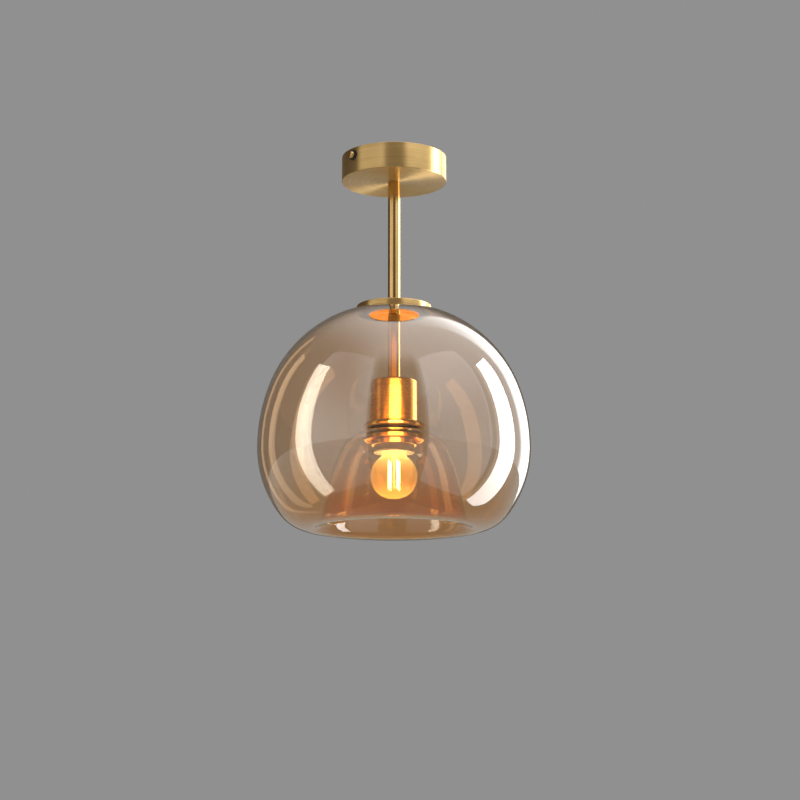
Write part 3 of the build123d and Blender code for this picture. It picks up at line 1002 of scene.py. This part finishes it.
RUBBER = Moulded("black_rubber", "black_rubber", (0.022, 0.021, 0.02), (0.012, 0.012, 0.012), 0.6)
SILICONE = Moulded("clear_silicone", "silicone", (0.72, 0.70, 0.66), (0.62, 0.6, 0.56), 0.4)
TERMINAL = Moulded("terminal_nylon", "terminal_plastic", (0.74, 0.73, 0.69), (0.66, 0.65, 0.6), 0.42)
PHENOLIC = Moulded("holder_phenolic", "holder_phenolic", (0.78, 0.72, 0.60), (0.70, 0.64, 0.52), 0.3)
CAP_GLASS = Moulded("cap_black_glass", "cap_glass", (0.02, 0.018, 0.03), (0.01, 0.01, 0.016), 0.16)
AMBER = LustreGlass("amber_blown_glass", "amber_glass", (0.97, 0.79, 0.61), (0.95, 0.74, 0.53), 1.52)
BULB_GLASS = LitGlass("bulb_amber_glass", "bulb_glass", (0.98, 0.84, 0.60), (0.96, 0.80, 0.54), 1.48)
MOUNT_GLASS = LitGlass("mount_clear_glass", "bulb_glass", glow=(1.2, 0.8, 0.4), glow_end=(0.9, 0.55, 0.24))
PHOSPHOR = Phosphor("lit_phosphor", "filament_phosphor")
BROWN = Sleeve("wire_brown_sleeve", "wire_brown", (0.16, 0.06, 0.025))
BLUE = Sleeve("wire_blue_sleeve", "wire_blue", (0.02, 0.13, 0.42))
EARTH = Sleeve("wire_earth_sleeve", "wire_earth", (0.04, 0.28, 0.06), band=(0.8, 0.62, 0.05))


# Sub-assemblies ---------------------------------------------------------------------


class Body(str, Enum):
    """The bodies of the frame."""

    FIXTURE = "fixture"
    BULB = "bulb"
    SHADE = "shade"
    RING = "shade_ring"


@dataclass
class Assembly:
    """A group of pieces that are built, dressed and put on one body together."""

    body: Body = Body.FIXTURE
    made: list[Piece] = field(default_factory=list, init=False)

    def keep(self, piece: Piece, finish: Finish, *nodes: str, angle: float = 34.0) -> None:
        """Finishes a piece and puts it in the frame.

        Args:
            piece: the mesh, in place.
            finish: what it is dressed in.
            nodes: the CAD nodes it stands for.
            angle: edges flatter than this are shaded smooth, in degrees.
        """
        Bench.pick(piece)
        bpy.ops.object.shade_smooth_by_angle(angle=math.radians(angle))
        finish.dress(piece)
        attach(piece, self.body.value)
        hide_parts(*nodes)
        self.made.append(piece)
        log.info("%s: %d faces on %s", piece.name, len(piece.data.polygons), self.body.value)

    def turn(
        self, name: str, finish: Finish, node: str, section: list[Point], steps: int, closed: bool = True
    ) -> None:
        """Turns a section on the lathe and keeps the piece in a node's stead."""
        self.keep(Bench.turned(name, section, steps, closed), finish, node)

    def ring(
        self, name: str, finish: Finish, node: str, inner: float, edge: float, inset: float = 0.0
    ) -> None:
        """Keeps a flat ring with rounded edges in a node's stead."""
        section = Span.of(node).ring(inner, edge, edge / 2, inset)
        self.turn(name, finish, node, section, steps=128)

    def dish(self, name: str, finish: Finish, node: str, dish: Dish) -> None:
        """Keeps a turned dish in a node's stead."""
        self.turn(name, finish, node, dish.section(Span.of(node)), dish.steps)

    @staticmethod
    def dress_nodes(finish: Finish, *nodes: str) -> None:
        """Gives CAD nodes that stay in view their finish."""
        for node in nodes:
            finish.dress(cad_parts[node])


@dataclass
class Canopy(Assembly):
    """The drum on the ceiling, with the bracket, screws and terminals that it covers."""

    drum: Dish = Dish(
        1.2 * MM, (0.15 * MM, 0.15 * MM, 0.8 * MM, 0.5 * MM, 0.3 * MM, 0.7 * MM), opens_up=True
    )

    def build(self) -> None:
        """Builds the drum and dresses what it holds."""
        self.dish("canopy_drum", BRUSHED, "canopy", self.drum)
        self.dress_nodes(POLISHED, "canopy_screw_left", "canopy_screw_right")
        # The side screws sit on black rubber washers. The dark ring round each head is partly the real
        # washer and partly painted shade.
        self.dress_nodes(RUBBER, "canopy_washer_left", "canopy_washer_right")
        self.dress_nodes(ZINC, "mounting_bracket", "earth_lug", "terminal_screws")
        self.dress_nodes(ZINC, "lock_washers", "hex_nuts")
        self.dress_nodes(CONTACT, "earth_screw")
        self.dress_nodes(TERMINAL, "terminal_block")


@dataclass
class Tubes(Assembly):
    """The two stems, the spacer, the threaded nipples inside them and the wires."""

    pitch: float = 1.0 * MM
    thread_root: float = 4.45 * MM
    nipple_bore: float = 3.5 * MM
    end_round: float = 0.35 * MM
    bore_round: float = 0.1 * MM

    def build(self) -> None:
        """Builds the tubes and nipples and dresses the wires."""
        for node in ("stem_upper", "cap_spacer", "stem_lower"):
            section = Span.of(node).ring(NIPPLE_FIT, self.end_round, self.bore_round)
            self.turn(f"{node}_tube", DRAWN, node, section, steps=96)
        for node in ("nipple_canopy", "nipple_cap", "nipple_holder"):
            span = Span.of(node)
            thread = Thread.vee(span.radius, self.thread_root, self.pitch)
            tube = Bench.threaded_tube(f"{node}_thread", thread, span.low, span.high, self.nipple_bore)
            self.keep(tube, ZINC, node)
        for finish, node in ((BROWN, "live_wire"), (BLUE, "neutral_wire"), (EARTH, "earth_wire")):
            self.dress_nodes(finish, node)


@dataclass
class ShadeCap(Assembly):
    """The shallow cap on the glass's crown, its silicone ring and the disc below it."""

    cap: Dish = Dish(1.0 * MM, (0.1 * MM, 0.2 * MM, 1.2 * MM, 0.35 * MM, 0.3 * MM, 0.6 * MM))
    gasket_width: float = 3.6 * MM
    gasket_edge: float = 0.5 * MM
    disc_edge: float = 0.4 * MM

    def build(self) -> None:
        """Builds the cap, the ring and the disc."""
        self.dish("shade_cap_dish", BRUSHED, "shade_cap", self.cap)
        inner = Span.of("cap_gasket").radius - self.gasket_width
        self.ring("cap_gasket_ring", SILICONE, "cap_gasket", inner, self.gasket_edge)
        self.ring("guide_disc_plate", POLISHED, "guide_disc", NIPPLE_FIT, self.disc_edge)


@dataclass
class Lampholder(Assembly):
    """The cup, the beaded flange, the insulating body and its contacts."""

    cup: Dish = Dish(
        1.2 * MM, (0.1 * MM, 0.2 * MM, 1.8 * MM, 0.25 * MM, 0.25 * MM, 0.8 * MM), steps=160
    )
    skirt: float = 19.5 * MM
    skirt_root: float = 18.9 * MM
    skirt_pitch: float = 2.2 * MM
    flange_gap: float = 0.05 * MM
    waist_share: float = 0.62
    waist_length: float = 2.4
    socket_bore: float = 14.0 * MM
    socket_depth: float = 34.0 * MM
    head_radius: float = 21.2 * MM
    head_foot_round: float = 0.3 * MM
    head_top_round: float = 0.6 * MM
    shell_wall: float = 0.3 * MM
    shell_inset: float = 0.45 * MM
    shell_depth: float = 0.3 * MM
    gasket_inset: float = 0.8 * MM
    gasket_gap: float = 0.3 * MM
    gasket_edge: float = 0.9 * MM

    def build(self) -> None:
        """Builds the holder from the top down."""
        self.dish("holder_cup", SPUN, "lampholder_cup", self.cup)
        self.flange()
        self.insulator()
        self.shell()
        self.dress_nodes(CONTACT, "centre_contact", "holder_terminals")
        inner = self.skirt + self.gasket_gap
        self.ring("gasket_upper_ring", RUBBER, "gasket_upper", inner, self.gasket_edge, self.gasket_inset)

    def flange(self) -> None:
        """Makes the flange, with a bead rolled round its edge."""
        span = Span.of("clamp_flange")
        middle = (span.low + span.high) / 2
        bead = (span.high - span.low) / 2
        waist = bead * self.waist_share
        inner = self.skirt + self.flange_gap
        bead_start = span.radius - self.waist_length * bead
        outline = Outline(inner, middle - waist)
        outline.line_to(bead_start, middle - waist)
        outline.arc_to(span.radius - bead, middle - bead)
        outline.heading = 0.0
        outline.arc(bead, math.pi)
        outline.arc_to(bead_start, middle + waist)
        outline.line_to(inner, middle + waist)
        self.turn("holder_flange", POLISHED, "clamp_flange", outline.points, steps=160)

    def insulator(self) -> None:
        """Makes the insulating body: a threaded skirt under a plain head."""
        span = Span.of("lampholder_body")
        neck = Span.of("clamp_flange").high
        floor = span.low + self.socket_depth
        thread = Thread.vee(self.skirt, self.skirt_root, self.skirt_pitch)
        skirt = Bench.threaded_tube("holder_skirt", thread, span.low, neck, self.socket_bore)
        section = rounded([
            (0.0, floor, 0.0),
            (self.socket_bore, floor, 0.0),
            (self.socket_bore, neck, 0.0),
            (self.head_radius, neck, self.head_foot_round),
            (self.head_radius, span.high, self.head_top_round),
            (0.0, span.high, 0.0),
        ])
        head = Bench.turned("holder_head", section, 96, closed=False)
        self.keep(Bench.join("holder_insulator", skirt, head), PHENOLIC, "lampholder_body")

    def shell(self) -> None:
        """Makes the screw shell that the bulb turns into."""
        span = Span.of("socket_shell")
        thread = Thread.knuckle(span.radius - self.shell_inset, self.shell_depth, CAP_PITCH)
        piece = Bench.helix("socket_screw_shell", thread, span.low, span.high)
        Bench.modify(piece, "SOLIDIFY", thickness=self.shell_wall, offset=0.0, use_even_offset=True)
        self.keep(piece, CONTACT, "socket_shell")


@dataclass
class ShadeRing(Assembly):
    """The ring that screws up the skirt and carries the glass, with its rubber."""

    body: Body = Body.RING
    plate: float = 1.6 * MM
    lip_wall: float = 1.6 * MM
    lip_depth: float = 4.5 * MM
    collar_bore: float = 19.6 * MM
    collar_wall: float = 1.8 * MM
    edge: float = 0.7 * MM
    inner_corner: float = 0.8 * MM
    bore_round: float = 0.3 * MM
    collar_round: float = 0.4 * MM
    gasket_gap: float = 0.2 * MM
    gasket_edge: float = 0.6 * MM

    def build(self) -> None:
        """Builds the ring and its gasket."""
        span = Span.of("shade_ring")
        under, lip_foot = span.high - self.plate, span.high - self.lip_depth
        collar, lip = self.collar_bore + self.collar_wall, span.radius - self.lip_wall
        section = rounded([
            (self.collar_bore, span.low, self.bore_round),
            (self.collar_bore, span.high, self.bore_round),
            (span.radius, span.high, self.edge),
            (span.radius, lip_foot, self.edge),
            (lip, lip_foot, self.edge),
            (lip, under, self.inner_corner),
            (collar, under, self.inner_corner),
            (collar, span.low, self.collar_round),
        ])
        self.turn("shade_ring_nut", POLISHED, "shade_ring", section, steps=160)
        inner = self.collar_bore + self.gasket_gap
        self.ring("gasket_lower_ring", RUBBER, "gasket_lower", inner, self.gasket_edge)


@dataclass
class GlassShade(Assembly):
    """One blown wall: a bell turned up inside a globe."""

    body: Body = Body.SHADE
    wall: float = 2.0 * MM
    neck: float = 21.0 * MM
    neck_flat: float = 4.5 * MM
    dome: float = 26.75 * MM
    dome_turn: float = math.radians(65.4)
    flank: float = 138.0 * MM
    flank_turn: float = math.radians(14.1)
    side: float = 34.8 * MM
    side_strokes: int = 12
    fold: float = 12.0 * MM
    belly_round_share: float = 0.732
    belly_depth: float = 78.8 * MM
    seat_rise: float = 132.7 * MM
    shoulder_inset: float = 9.85 * MM
    shoulder_share: float = 0.426
    crown_share: float = 0.919
    crown_radius_share: float = 0.5
    hole_overlap: float = 5.25 * MM
    edge: float = 0.7 * MM
    sharp: float = math.radians(60)

    def build(self) -> None:
        """Builds the shade from the side that faces the room, and thickens it inwards."""
        piece = Bench.turned("shade_glass", self.outline(), 176, closed=False)
        Bench.face_the_room(piece)
        Bench.modify(piece, "SOLIDIFY", thickness=self.wall, offset=-1.0, use_even_offset=True)
        Bench.modify(
            piece, "BEVEL", width=self.edge, segments=3, limit_method="ANGLE", angle_limit=self.sharp
        )
        self.keep(piece, AMBER, "glass_bell", "glass_globe", angle=50.0)

    def outline(self) -> list[Point]:
        """Draws the section's outer side, from the neck down the bell and up the globe.

        Returns:
            Its points.
        """
        glass = Span.of("glass_globe")
        widest = glass.low + self.belly_depth

        pen = Outline(self.neck, Span.of("gasket_lower").high)
        pen.line(self.neck_flat)
        pen.arc(self.dome, -self.dome_turn)
        pen.arc(self.flank, -self.flank_turn)
        for _ in range(self.side_strokes):
            pen.line(self.side / self.side_strokes)
        pen.arc(self.fold, self.dome_turn + self.flank_turn)

        overhang = glass.radius - pen.here[0]
        belly_round = self.belly_round_share * overhang
        belly = (overhang**2 + (self.belly_depth - belly_round) ** 2 - belly_round**2) / (
            2 * (overhang - belly_round)
        )
        belly_turn = math.asin((belly - overhang) / (belly - belly_round))
        pen.arc(belly_round, belly_turn)
        pen.arc(belly, math.pi / 2 - belly_turn)
        pen.arc_to(glass.radius - self.shoulder_inset, widest + self.shoulder_share * self.seat_rise)
        pen.arc_to(self.crown_radius_share * glass.radius, widest + self.crown_share * self.seat_rise)
        pen.arc_to(Span.of("shade_cap").radius, widest + self.seat_rise)
        pen.line(self.hole_overlap / abs(math.cos(pen.heading)))
        return pen.points


@dataclass
class Bulb(Assembly):
    """A small lit globe bulb on a screw cap."""

    body: Body = Body.BULB
    globe: float = 22.5 * MM
    neck: float = 11.5 * MM
    neck_round: float = 5.0 * MM
    glass_wall: float = 0.8 * MM
    thread_middle: float = 12.75 * MM
    thread_depth: float = 0.9 * MM
    cap_wall: float = 0.4 * MM
    cap_outer: float = 12.95 * MM
    cap_inner: float = 12.25 * MM
    lap: float = 0.1 * MM
    rim_height: float = 1.6 * MM
    crown_height: float = 2.4 * MM
    bar: float = 0.9 * MM
    bar_circle: float = 5.8 * MM
    bar_count: int = 4
    bar_turn: float = math.radians(-6)
    tab: float = 1.3 * MM
    tab_inset_share: float = 0.35
    tab_edge: float = 0.18 * MM
    rod: float = 1.0 * MM
    stem: float = 3.0 * MM
    flare_wall: float = 0.4 * MM
    flare_lip: float = 1.2 * MM
    flare_height: float = 6.5 * MM
    wire: float = 0.28 * MM
    wire_inset: float = 0.3 * MM
    wire_bow: float = 0.7 * MM
    wire_strides: int = 8

    def build(self) -> None:
        """Builds the bulb from the glass to the contact."""
        self.envelope()
        self.cap()
        self.contact()
        self.mount()
        self.bars()
        self.supports()

    def envelope(self) -> None:
        """Blows the globe: a neck that flares into a sphere."""
        span = Span.of("bulb_envelope")
        reach = self.globe + self.neck_round
        flare = math.asin((self.neck + self.neck_round) / reach)
        pen = Outline(self.neck, span.high)
        pen.line_to(self.neck, span.low + self.globe + reach * math.cos(flare))
        pen.arc(self.neck_round, math.pi / 2 - flare)
        pen.arc(self.globe, flare - math.pi)
        pen.points[-1] = (0.0, pen.here[1])
        piece = Bench.turned("bulb_globe", pen.points, 112, closed=False)
        Bench.face_the_room(piece)
        Bench.modify(piece, "SOLIDIFY", thickness=self.glass_wall, offset=-1.0)
        self.keep(piece, BULB_GLASS, "bulb_envelope", angle=50.0)

    def cap(self) -> None:
        """Makes the screw cap: a rim, the thread and a crown that holds the insulator."""
        cap, glass = Span.of("bulb_cap"), Span.of("bulb_insulator")
        rim_top, shoulder = cap.low + self.rim_height, glass.low - self.crown_height
        knuckle = Thread.knuckle(self.thread_middle, self.thread_depth, CAP_PITCH)
        thread = Bench.helix("cap_thread", knuckle, rim_top, shoulder)
        Bench.modify(thread, "SOLIDIFY", thickness=self.cap_wall, offset=-1.0)
        rim = rounded([
            (self.cap_inner, cap.low, 0.1 * MM),
            (self.cap_inner, rim_top + self.lap, 0.0),
            (self.cap_outer, rim_top + self.lap, 0.2 * MM),
            (self.cap_outer, cap.low, 0.3 * MM),
        ])
        crown = rounded([
            (self.cap_inner, shoulder - self.lap, 0.0),
            (glass.radius - self.cap_wall, glass.low, 0.0),
            (glass.radius, glass.low, 0.15 * MM),
            (self.cap_outer, shoulder - self.lap, 0.4 * MM),
        ])
        ends = (Bench.turned("cap_rim", rim, 80), Bench.turned("cap_crown", crown, 80))
        self.keep(Bench.join("bulb_screw_cap", thread, *ends), CAP_BRASS, "bulb_cap")

    def contact(self) -> None:
        """Makes the cap's glass insulator and the solder contact on it."""
        glass, contact = Span.of("bulb_insulator"), Span.of("bulb_contact")
        cone = rounded([
            (0.0, glass.low, 0.0),
            (glass.radius, glass.low, 0.5 * MM),
            (contact.radius, glass.high, 0.6 * MM),
            (0.0, glass.high, 0.0),
        ])
        self.turn("cap_insulator", CAP_GLASS, "bulb_insulator", cone, steps=64, closed=False)
        bead = rounded([
            (0.0, contact.low, 0.0),
            (contact.radius, contact.low, 0.0),
            (contact.radius, contact.high - 0.25 * (contact.high - contact.low), 0.35 * MM),
            (contact.radius * 0.62, contact.high, 0.6 * MM),
            (0.0, contact.high, 0.0),
        ])
        self.turn("cap_contact", SOLDER, "bulb_contact", bead, steps=48, closed=False)

    def mount(self) -> None:
        """Draws the glass mount: a flare, a stem and a thin rod with a bead at its end."""
        span = Span.of("bulb_mount")
        top = Span.of("bulb_filaments").high
        section = rounded([
            (0.0, span.high, 0.0),
            (span.radius, span.high, 0.3 * MM),
            (span.radius - self.flare_wall, span.high - self.flare_lip, 0.3 * MM),
            (self.stem, span.high - self.flare_height, 4.0 * MM),
            (self.stem, top + 0.5 * MM, 1.0 * MM),
            (self.rod, top - self.rod, 0.8 * MM),
            (self.rod, span.low + self.rod, 0.0),
            (self.rod * 0.7, span.low + 0.2 * MM, 0.3 * MM),
            (0.0, span.low, 0.0),
        ])
        self.turn("bulb_glass_mount", MOUNT_GLASS, "bulb_mount", section, steps=40, closed=False)

    def bars(self) -> None:
        """Makes one filament bar with a metal tab at each end, and copies it round."""
        span = Span.of("bulb_filaments")
        Bench.clear()
        bpy.ops.mesh.primitive_cylinder_add(
            vertices=20,
            radius=self.bar,
            depth=span.high - span.low - 2 * self.tab,
            location=(self.bar_circle, 0, (span.low + span.high) / 2),
        )
        bar = Bench.begin("filament_bar")
        for side in (1, -1):
            bpy.ops.mesh.select_all(action="DESELECT")
            bpy.ops.object.mode_set(mode="OBJECT")
            for face in bar.data.polygons:
                face.select = face.normal.z * side > 0.9
            bpy.ops.object.mode_set(mode="EDIT")
            bpy.ops.mesh.inset(thickness=self.bar * self.tab_inset_share)
            Bench.extrude(0, side * self.tab)
        Bench.modify(bar, "BEVEL", width=self.tab_edge, segments=3, limit_method="ANGLE")
        Bench.settle(bar)
        self.keep(self.round_the_axis("bulb_filament_bars", bar), PHOSPHOR, "bulb_filaments")

    def supports(self) -> None:
        """Bends the short wires that hold each bar at its head and foot."""
        low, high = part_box("bulb_supports")
        start, end = self.rod * 0.6, self.bar_circle - self.bar * 0.5
        wires = []
        foot, head = low.z + self.wire_inset, high.z - self.wire_inset
        for level, bow in ((foot, self.wire_bow), (head, -self.wire_bow)):
            Bench.clear()
            bpy.ops.mesh.primitive_circle_add(
                vertices=12, radius=self.wire, location=(0, 0, 0), rotation=(0, math.pi / 2, 0)
            )
            wire = Bench.begin(f"support_wire_{len(wires)}")
            bpy.ops.transform.translate(value=(start, 0, level))
            for step in range(self.wire_strides):
                before = math.sin(math.pi * step / self.wire_strides)
                after = math.sin(math.pi * (step + 1) / self.wire_strides)
                Bench.extrude((end - start) / self.wire_strides, (after - before) * bow)
            Bench.join_up()
            Bench.settle(wire)
            wires.append(wire)
        pair = Bench.join("support_wires", *wires)
        self.keep(self.round_the_axis("bulb_support_wires", pair), WIRE, "bulb_supports")

    def round_the_axis(self, name: str, first: Piece) -> Piece:
        """Copies a piece that is placed on the x axis to each filament's angle.

        Args:
            name: the name of the copies together.
            first: the piece, which is used up.

        Returns:
            The copies, joined.
        """
        copies = []
        for index in range(self.bar_count):
            copy = first.copy()
            copy.data = first.data.copy()
            bpy.context.scene.collection.objects.link(copy)
            copy.rotation_euler.z = self.bar_turn + FULL_TURN * index / self.bar_count
            Bench.settle(copy)
            copies.append(copy)
        bpy.data.objects.remove(first)
        return Bench.join(name, *copies)


# Studio -----------------------------------------------------------------------------


@dataclass(frozen=True)
class Panel:
    """One wall of the studio, between two angles to the image's right from the camera."""

    start: float
    end: float
    colour: Colour
    soft: float = 3.0


class Seen(Enum):
    """Where a lamp shows: everywhere, only in outer reflections, or only through the glass."""

    ANYWHERE = "anywhere"
    REFLECTED = "reflected"
    THROUGH = "through"


@dataclass(frozen=True)
class Lamp:
    """A rectangular lamp.

    Its place is given from the light's axis: an angle to the image's right from the camera,
    a distance and a level. It faces a point on the axis. Where it names pieces, it lights
    nothing else: such a lamp stands for the lit filaments, or for what one finish mirrors.
    """

    name: str
    turn: float
    reach: float
    level: float
    target: float
    size: tuple[float, float]
    radiance: float
    colour: Colour
    pieces: tuple[str, ...] = ()
    seen: Seen = Seen.ANYWHERE


EMBER = (1.0, 0.42, 0.08)
FLAME = (1.0, 0.80, 0.46)
COOL = (1.0, 0.93, 0.96)
RING = ("shade_ring_nut",)
CUP_AND_STEM = ("holder_cup", "stem_lower_tube")
METAL_NEAR_BULB = ("holder_cup", "holder_flange", "shade_ring_nut")
# A lamp's last two values: the pieces that it lights alone, and where it shows.
IN_THE_GLASS = (("shade_glass",), Seen.REFLECTED)
MIRRORED = ((), Seen.REFLECTED)
BEHIND = ((), Seen.THROUGH)

PANELS = (
    Panel(-150, -84, (0.08, 0.06, 0.045)),
    Panel(-84, -21, (0.98, 0.94, 0.88)),
    Panel(-21, 28, (0.11, 0.08, 0.05)),
    Panel(28, 86, (0.70, 0.68, 0.65)),
    Panel(86, 132, (1.00, 0.98, 0.95)),
    Panel(132, 159, (2.90, 2.88, 2.80)),
)

LAMPS = (
    Lamp("left_strip", -76, 1.1, -0.29, -0.26, (0.32, 2.15), 4.6, (1.0, 0.86, 0.66), *IN_THE_GLASS),
    Lamp("left_edge_strip", -117, 1.1, -0.29, -0.26, (0.20, 2.00), 0.95, (1.0, 0.66, 0.38), *IN_THE_GLASS),
    Lamp("left_rim_strip", -138, 1.1, -0.29, -0.26, (0.12, 2.20), 0.6, (1.0, 0.60, 0.32), *IN_THE_GLASS),
    Lamp("left_fill", -52, 1.6, -0.29, -0.26, (1.90, 5.20), 0.42, COOL, *IN_THE_GLASS),
    Lamp("right_fill", 57, 1.6, -0.29, -0.26, (1.80, 5.20), 0.66, COOL, *IN_THE_GLASS),
    Lamp("right_strip", 104, 1.1, -0.31, -0.26, (0.42, 2.10), 6.4, (1.0, 0.99, 0.97), *MIRRORED),
    Lamp("left_strip_through", -80, 1.1, -0.29, -0.26, (0.32, 2.15), 0.9, (1.0, 0.95, 0.88), *BEHIND),
    Lamp("right_strip_through", 100, 1.1, -0.31, -0.26, (0.36, 2.10), 1.1, (1.0, 0.98, 0.95), *BEHIND),
    Lamp("canopy_bounce", 162, 0.6, -0.42, -0.02, (0.20, 0.20), 1.6, (1.0, 0.93, 0.86), ("canopy_drum",)),
    Lamp("glow_front", 5, 0.062, -0.255, -0.255, (0.050, 0.086), 10.0, (1.0, 0.76, 0.34), METAL_NEAR_BULB),
    Lamp("glow_round", 0, 0.10, -0.28, -0.25, (0.24, 0.10), 1.9, EMBER, METAL_NEAR_BULB),
    Lamp("glow_stem", 0, 0.10, -0.20, -0.20, (0.20, 0.10), 0.8, EMBER, ("stem_lower_tube",)),
    Lamp("glow_right", 118, 0.13, -0.21, -0.21, (0.08, 0.22), 5.0, (0.92, 0.94, 1.0), CUP_AND_STEM),
    Lamp("glow_disc", 180, 0.085, -0.19, -0.16, (0.14, 0.06), 1.7, (1.0, 0.36, 0.05), ("guide_disc_plate",)),
    Lamp("glow_rim", 180, 0.055, -0.296, -0.285, (0.14, 0.02), 5.0, (1.0, 0.58, 0.18), RING),
    Lamp("glow_ring", 0, 0.040, -0.330, -0.28, (0.08, 0.016), 14.0, (1.0, 0.55, 0.16), RING),
    Lamp(
        "glow_skirt", 0, 0.0, -0.345, -0.28, (0.02, 0.02), 700.0, FLAME,
        ("socket_screw_shell", "bulb_screw_cap"),
    ),
    Lamp("glow_mouth", 0, 0.0, -0.345, -0.28, (0.02, 0.02), 36.0, FLAME, ("holder_insulator",)),
)


@dataclass
class Studio:
    """Camera, soft lamps, backdrop and floor.

    The overhead light rises from its left tone across the room, and grows with height. Its
    middle, between two angles from the camera, stays dark up to near the top.
    """

    azimuth: float = math.atan2(-0.777, -0.629)
    distance: float = 1955.4 * MM
    height: float = -630.1 * MM
    aside: float = 5.7 * MM
    pitch: float = math.radians(11.24)
    lens: float = 93.8
    backdrop: float = 0.279
    floor_level: float = -2.1
    floor_size: float = 60.0
    floor_light: Colour = (0.40, 0.40, 0.395)
    floor_deep: Colour = (0.38, 0.38, 0.375)
    room: Colour = (0.14, 0.115, 0.095)
    overhead: Colour = (1.65, 1.63, 1.60)
    overhead_left: Colour = (0.24, 0.22, 0.21)
    overhead_across: Limits = (-0.7, 0.1)
    overhead_rise: Limits = (0.3, 1.0)
    overhead_lean: float = 0.3
    middle_left: Limits = (-26, -14)
    middle_right: Limits = (20, 32)
    middle_top: Limits = (0.7, 0.95)
    middle_shade: float = 0.95
    panels: tuple[Panel, ...] = PANELS
    lamps: tuple[Lamp, ...] = LAMPS

    def build(self) -> None:
        """Sets up the whole studio."""
        self.camera()
        self.world()
        self.floor()
        for lamp in self.lamps:
            self.hang(lamp)

    def direction(self, turn: float) -> Vector:
        """Gives a level direction, turned to the image's right from the camera."""
        angle = self.azimuth + math.radians(turn)
        return Vector((math.cos(angle), math.sin(angle), 0.0))

    @staticmethod
    def put(name: str, data: bpy.types.ID, place: Vector, look: Vector) -> Piece:
        """Puts a camera or a lamp in its place, so that it looks along a direction.

        Args:
            name: its name.
            data: the camera or the lamp.
            place: where it stands.
            look: the direction.

        Returns:
            Its object.
        """
        made = bpy.data.objects.new(name, data)
        bpy.context.scene.collection.objects.link(made)
        made.location = place
        made.rotation_mode = "QUATERNION"
        made.rotation_quaternion = look.to_track_quat("-Z", "Y")
        return made

    def camera(self) -> None:
        """Places the camera as it stood for the photograph."""
        data = bpy.data.cameras.new("camera")
        data.lens = self.lens
        data.sensor_width = 36.0
        data.clip_start = 0.05
        place = self.direction(0) * self.distance + self.direction(90) * self.aside
        place.z = self.height
        look = -self.direction(0) * math.cos(self.pitch)
        look.z = math.sin(self.pitch)
        bpy.context.scene.camera = self.put("camera", data, place, look)

    def hang(self, lamp: Lamp) -> None:
        """Hangs a lamp, and keeps it to its pieces where it names them.

        Args:
            lamp: the lamp.
        """
        data = bpy.data.lights.new(lamp.name, "AREA")
        data.shape = "RECTANGLE"
        data.size, data.size_y = lamp.size
        data.energy = lamp.radiance * math.pi * lamp.size[0] * lamp.size[1]
        data.color = lamp.colour
        place = self.direction(lamp.turn) * lamp.reach
        place.z = lamp.level
        hung = self.put(lamp.name, data, place, Vector((0, 0, lamp.target)) - place)
        if lamp.pieces:
            lit = bpy.data.collections.new(f"lit_by_{lamp.name}")
            for piece in lamp.pieces:
                lit.objects.link(bpy.data.objects[piece])
            hung.light_linking.receiver_collection = lit
            hung.light_linking.blocker_collection = lit
            hung.visible_camera = False
            hung.visible_transmission = False
        if lamp.seen is Seen.REFLECTED:
            hung.visible_transmission = False
        elif lamp.seen is Seen.THROUGH:
            hung.visible_camera = False
            hung.visible_diffuse = False
            hung.visible_glossy = False

    def world(self) -> None:
        """Makes the grey backdrop, and the room that metal and glass reflect."""
        world = bpy.data.worlds.new("studio")
        bpy.context.scene.world = world
        board = Board(world)
        rays = board.node("ShaderNodeLightPath").outputs
        seen = board.maths(
            "MAXIMUM", *(Value(board, rays[ray]) for ray in ("Is Camera Ray", "Is Transmission Ray"))
        )
        aim = board.node("ShaderNodeTexCoord").outputs["Generated"]
        axes = (self.direction(0), self.direction(90), Vector((0, 0, 1)))
        ahead, aside, up = (board.along(aim, axis) for axis in axes)
        turn = board.maths("ARCTAN2", aside, ahead) * math.degrees(1)
        colour = self.room
        for panel in self.panels:
            past_start = turn.ramp(panel.start - panel.soft, panel.start + panel.soft)
            past_end = turn.ramp(panel.end - panel.soft, panel.end + panel.soft)
            colour = board.mix(past_start - past_end, colour, panel.colour)
        above = board.mix(aside.ramp(*self.overhead_across), self.overhead_left, self.overhead)
        middle = turn.ramp(*self.middle_left) - turn.ramp(*self.middle_right)
        lifted = (up + ahead * self.overhead_lean).ramp(*self.overhead_rise)
        lifted = lifted * (1.0 - middle * self.middle_shade * (1.0 - up.ramp(*self.middle_top)))
        colour = board.mix(lifted, colour, above)
        colour = board.mix(seen, colour, (self.backdrop,) * 3)
        light = board.node("ShaderNodeBackground", None, {"Color": colour, "Strength": 1.0})
        board.node("ShaderNodeOutputWorld", None, {"Surface": light.outputs["Background"]})

    def floor(self) -> None:
        """Lays a plain pale floor well below the light."""
        Bench.clear()
        bpy.ops.mesh.primitive_plane_add(size=self.floor_size, location=(0, 0, self.floor_level))
        floor = bpy.context.active_object
        floor.name = "studio_floor"
        board = Board(bpy.data.materials.new("floor_paint"))
        colour = board.mix(board.noise(3.0), self.floor_light, self.floor_deep)
        floor.data.materials.append(board.surface({"Base Color": colour, "Roughness": 0.8}))


def main() -> None:
    """Builds the light, then the studio round it."""
    logging.basicConfig(level=logging.INFO, format="%(message)s")
    for assembly in (Canopy(), Tubes(), ShadeCap(), Lampholder(), ShadeRing(), GlassShade(), Bulb()):
        assembly.build()
        log.info("%s: %d pieces", type(assembly).__name__, len(assembly.made))
    Studio().build()
    bpy.context.scene.view_settings.view_transform = "Standard"


if __name__ == "__main__":
    main()
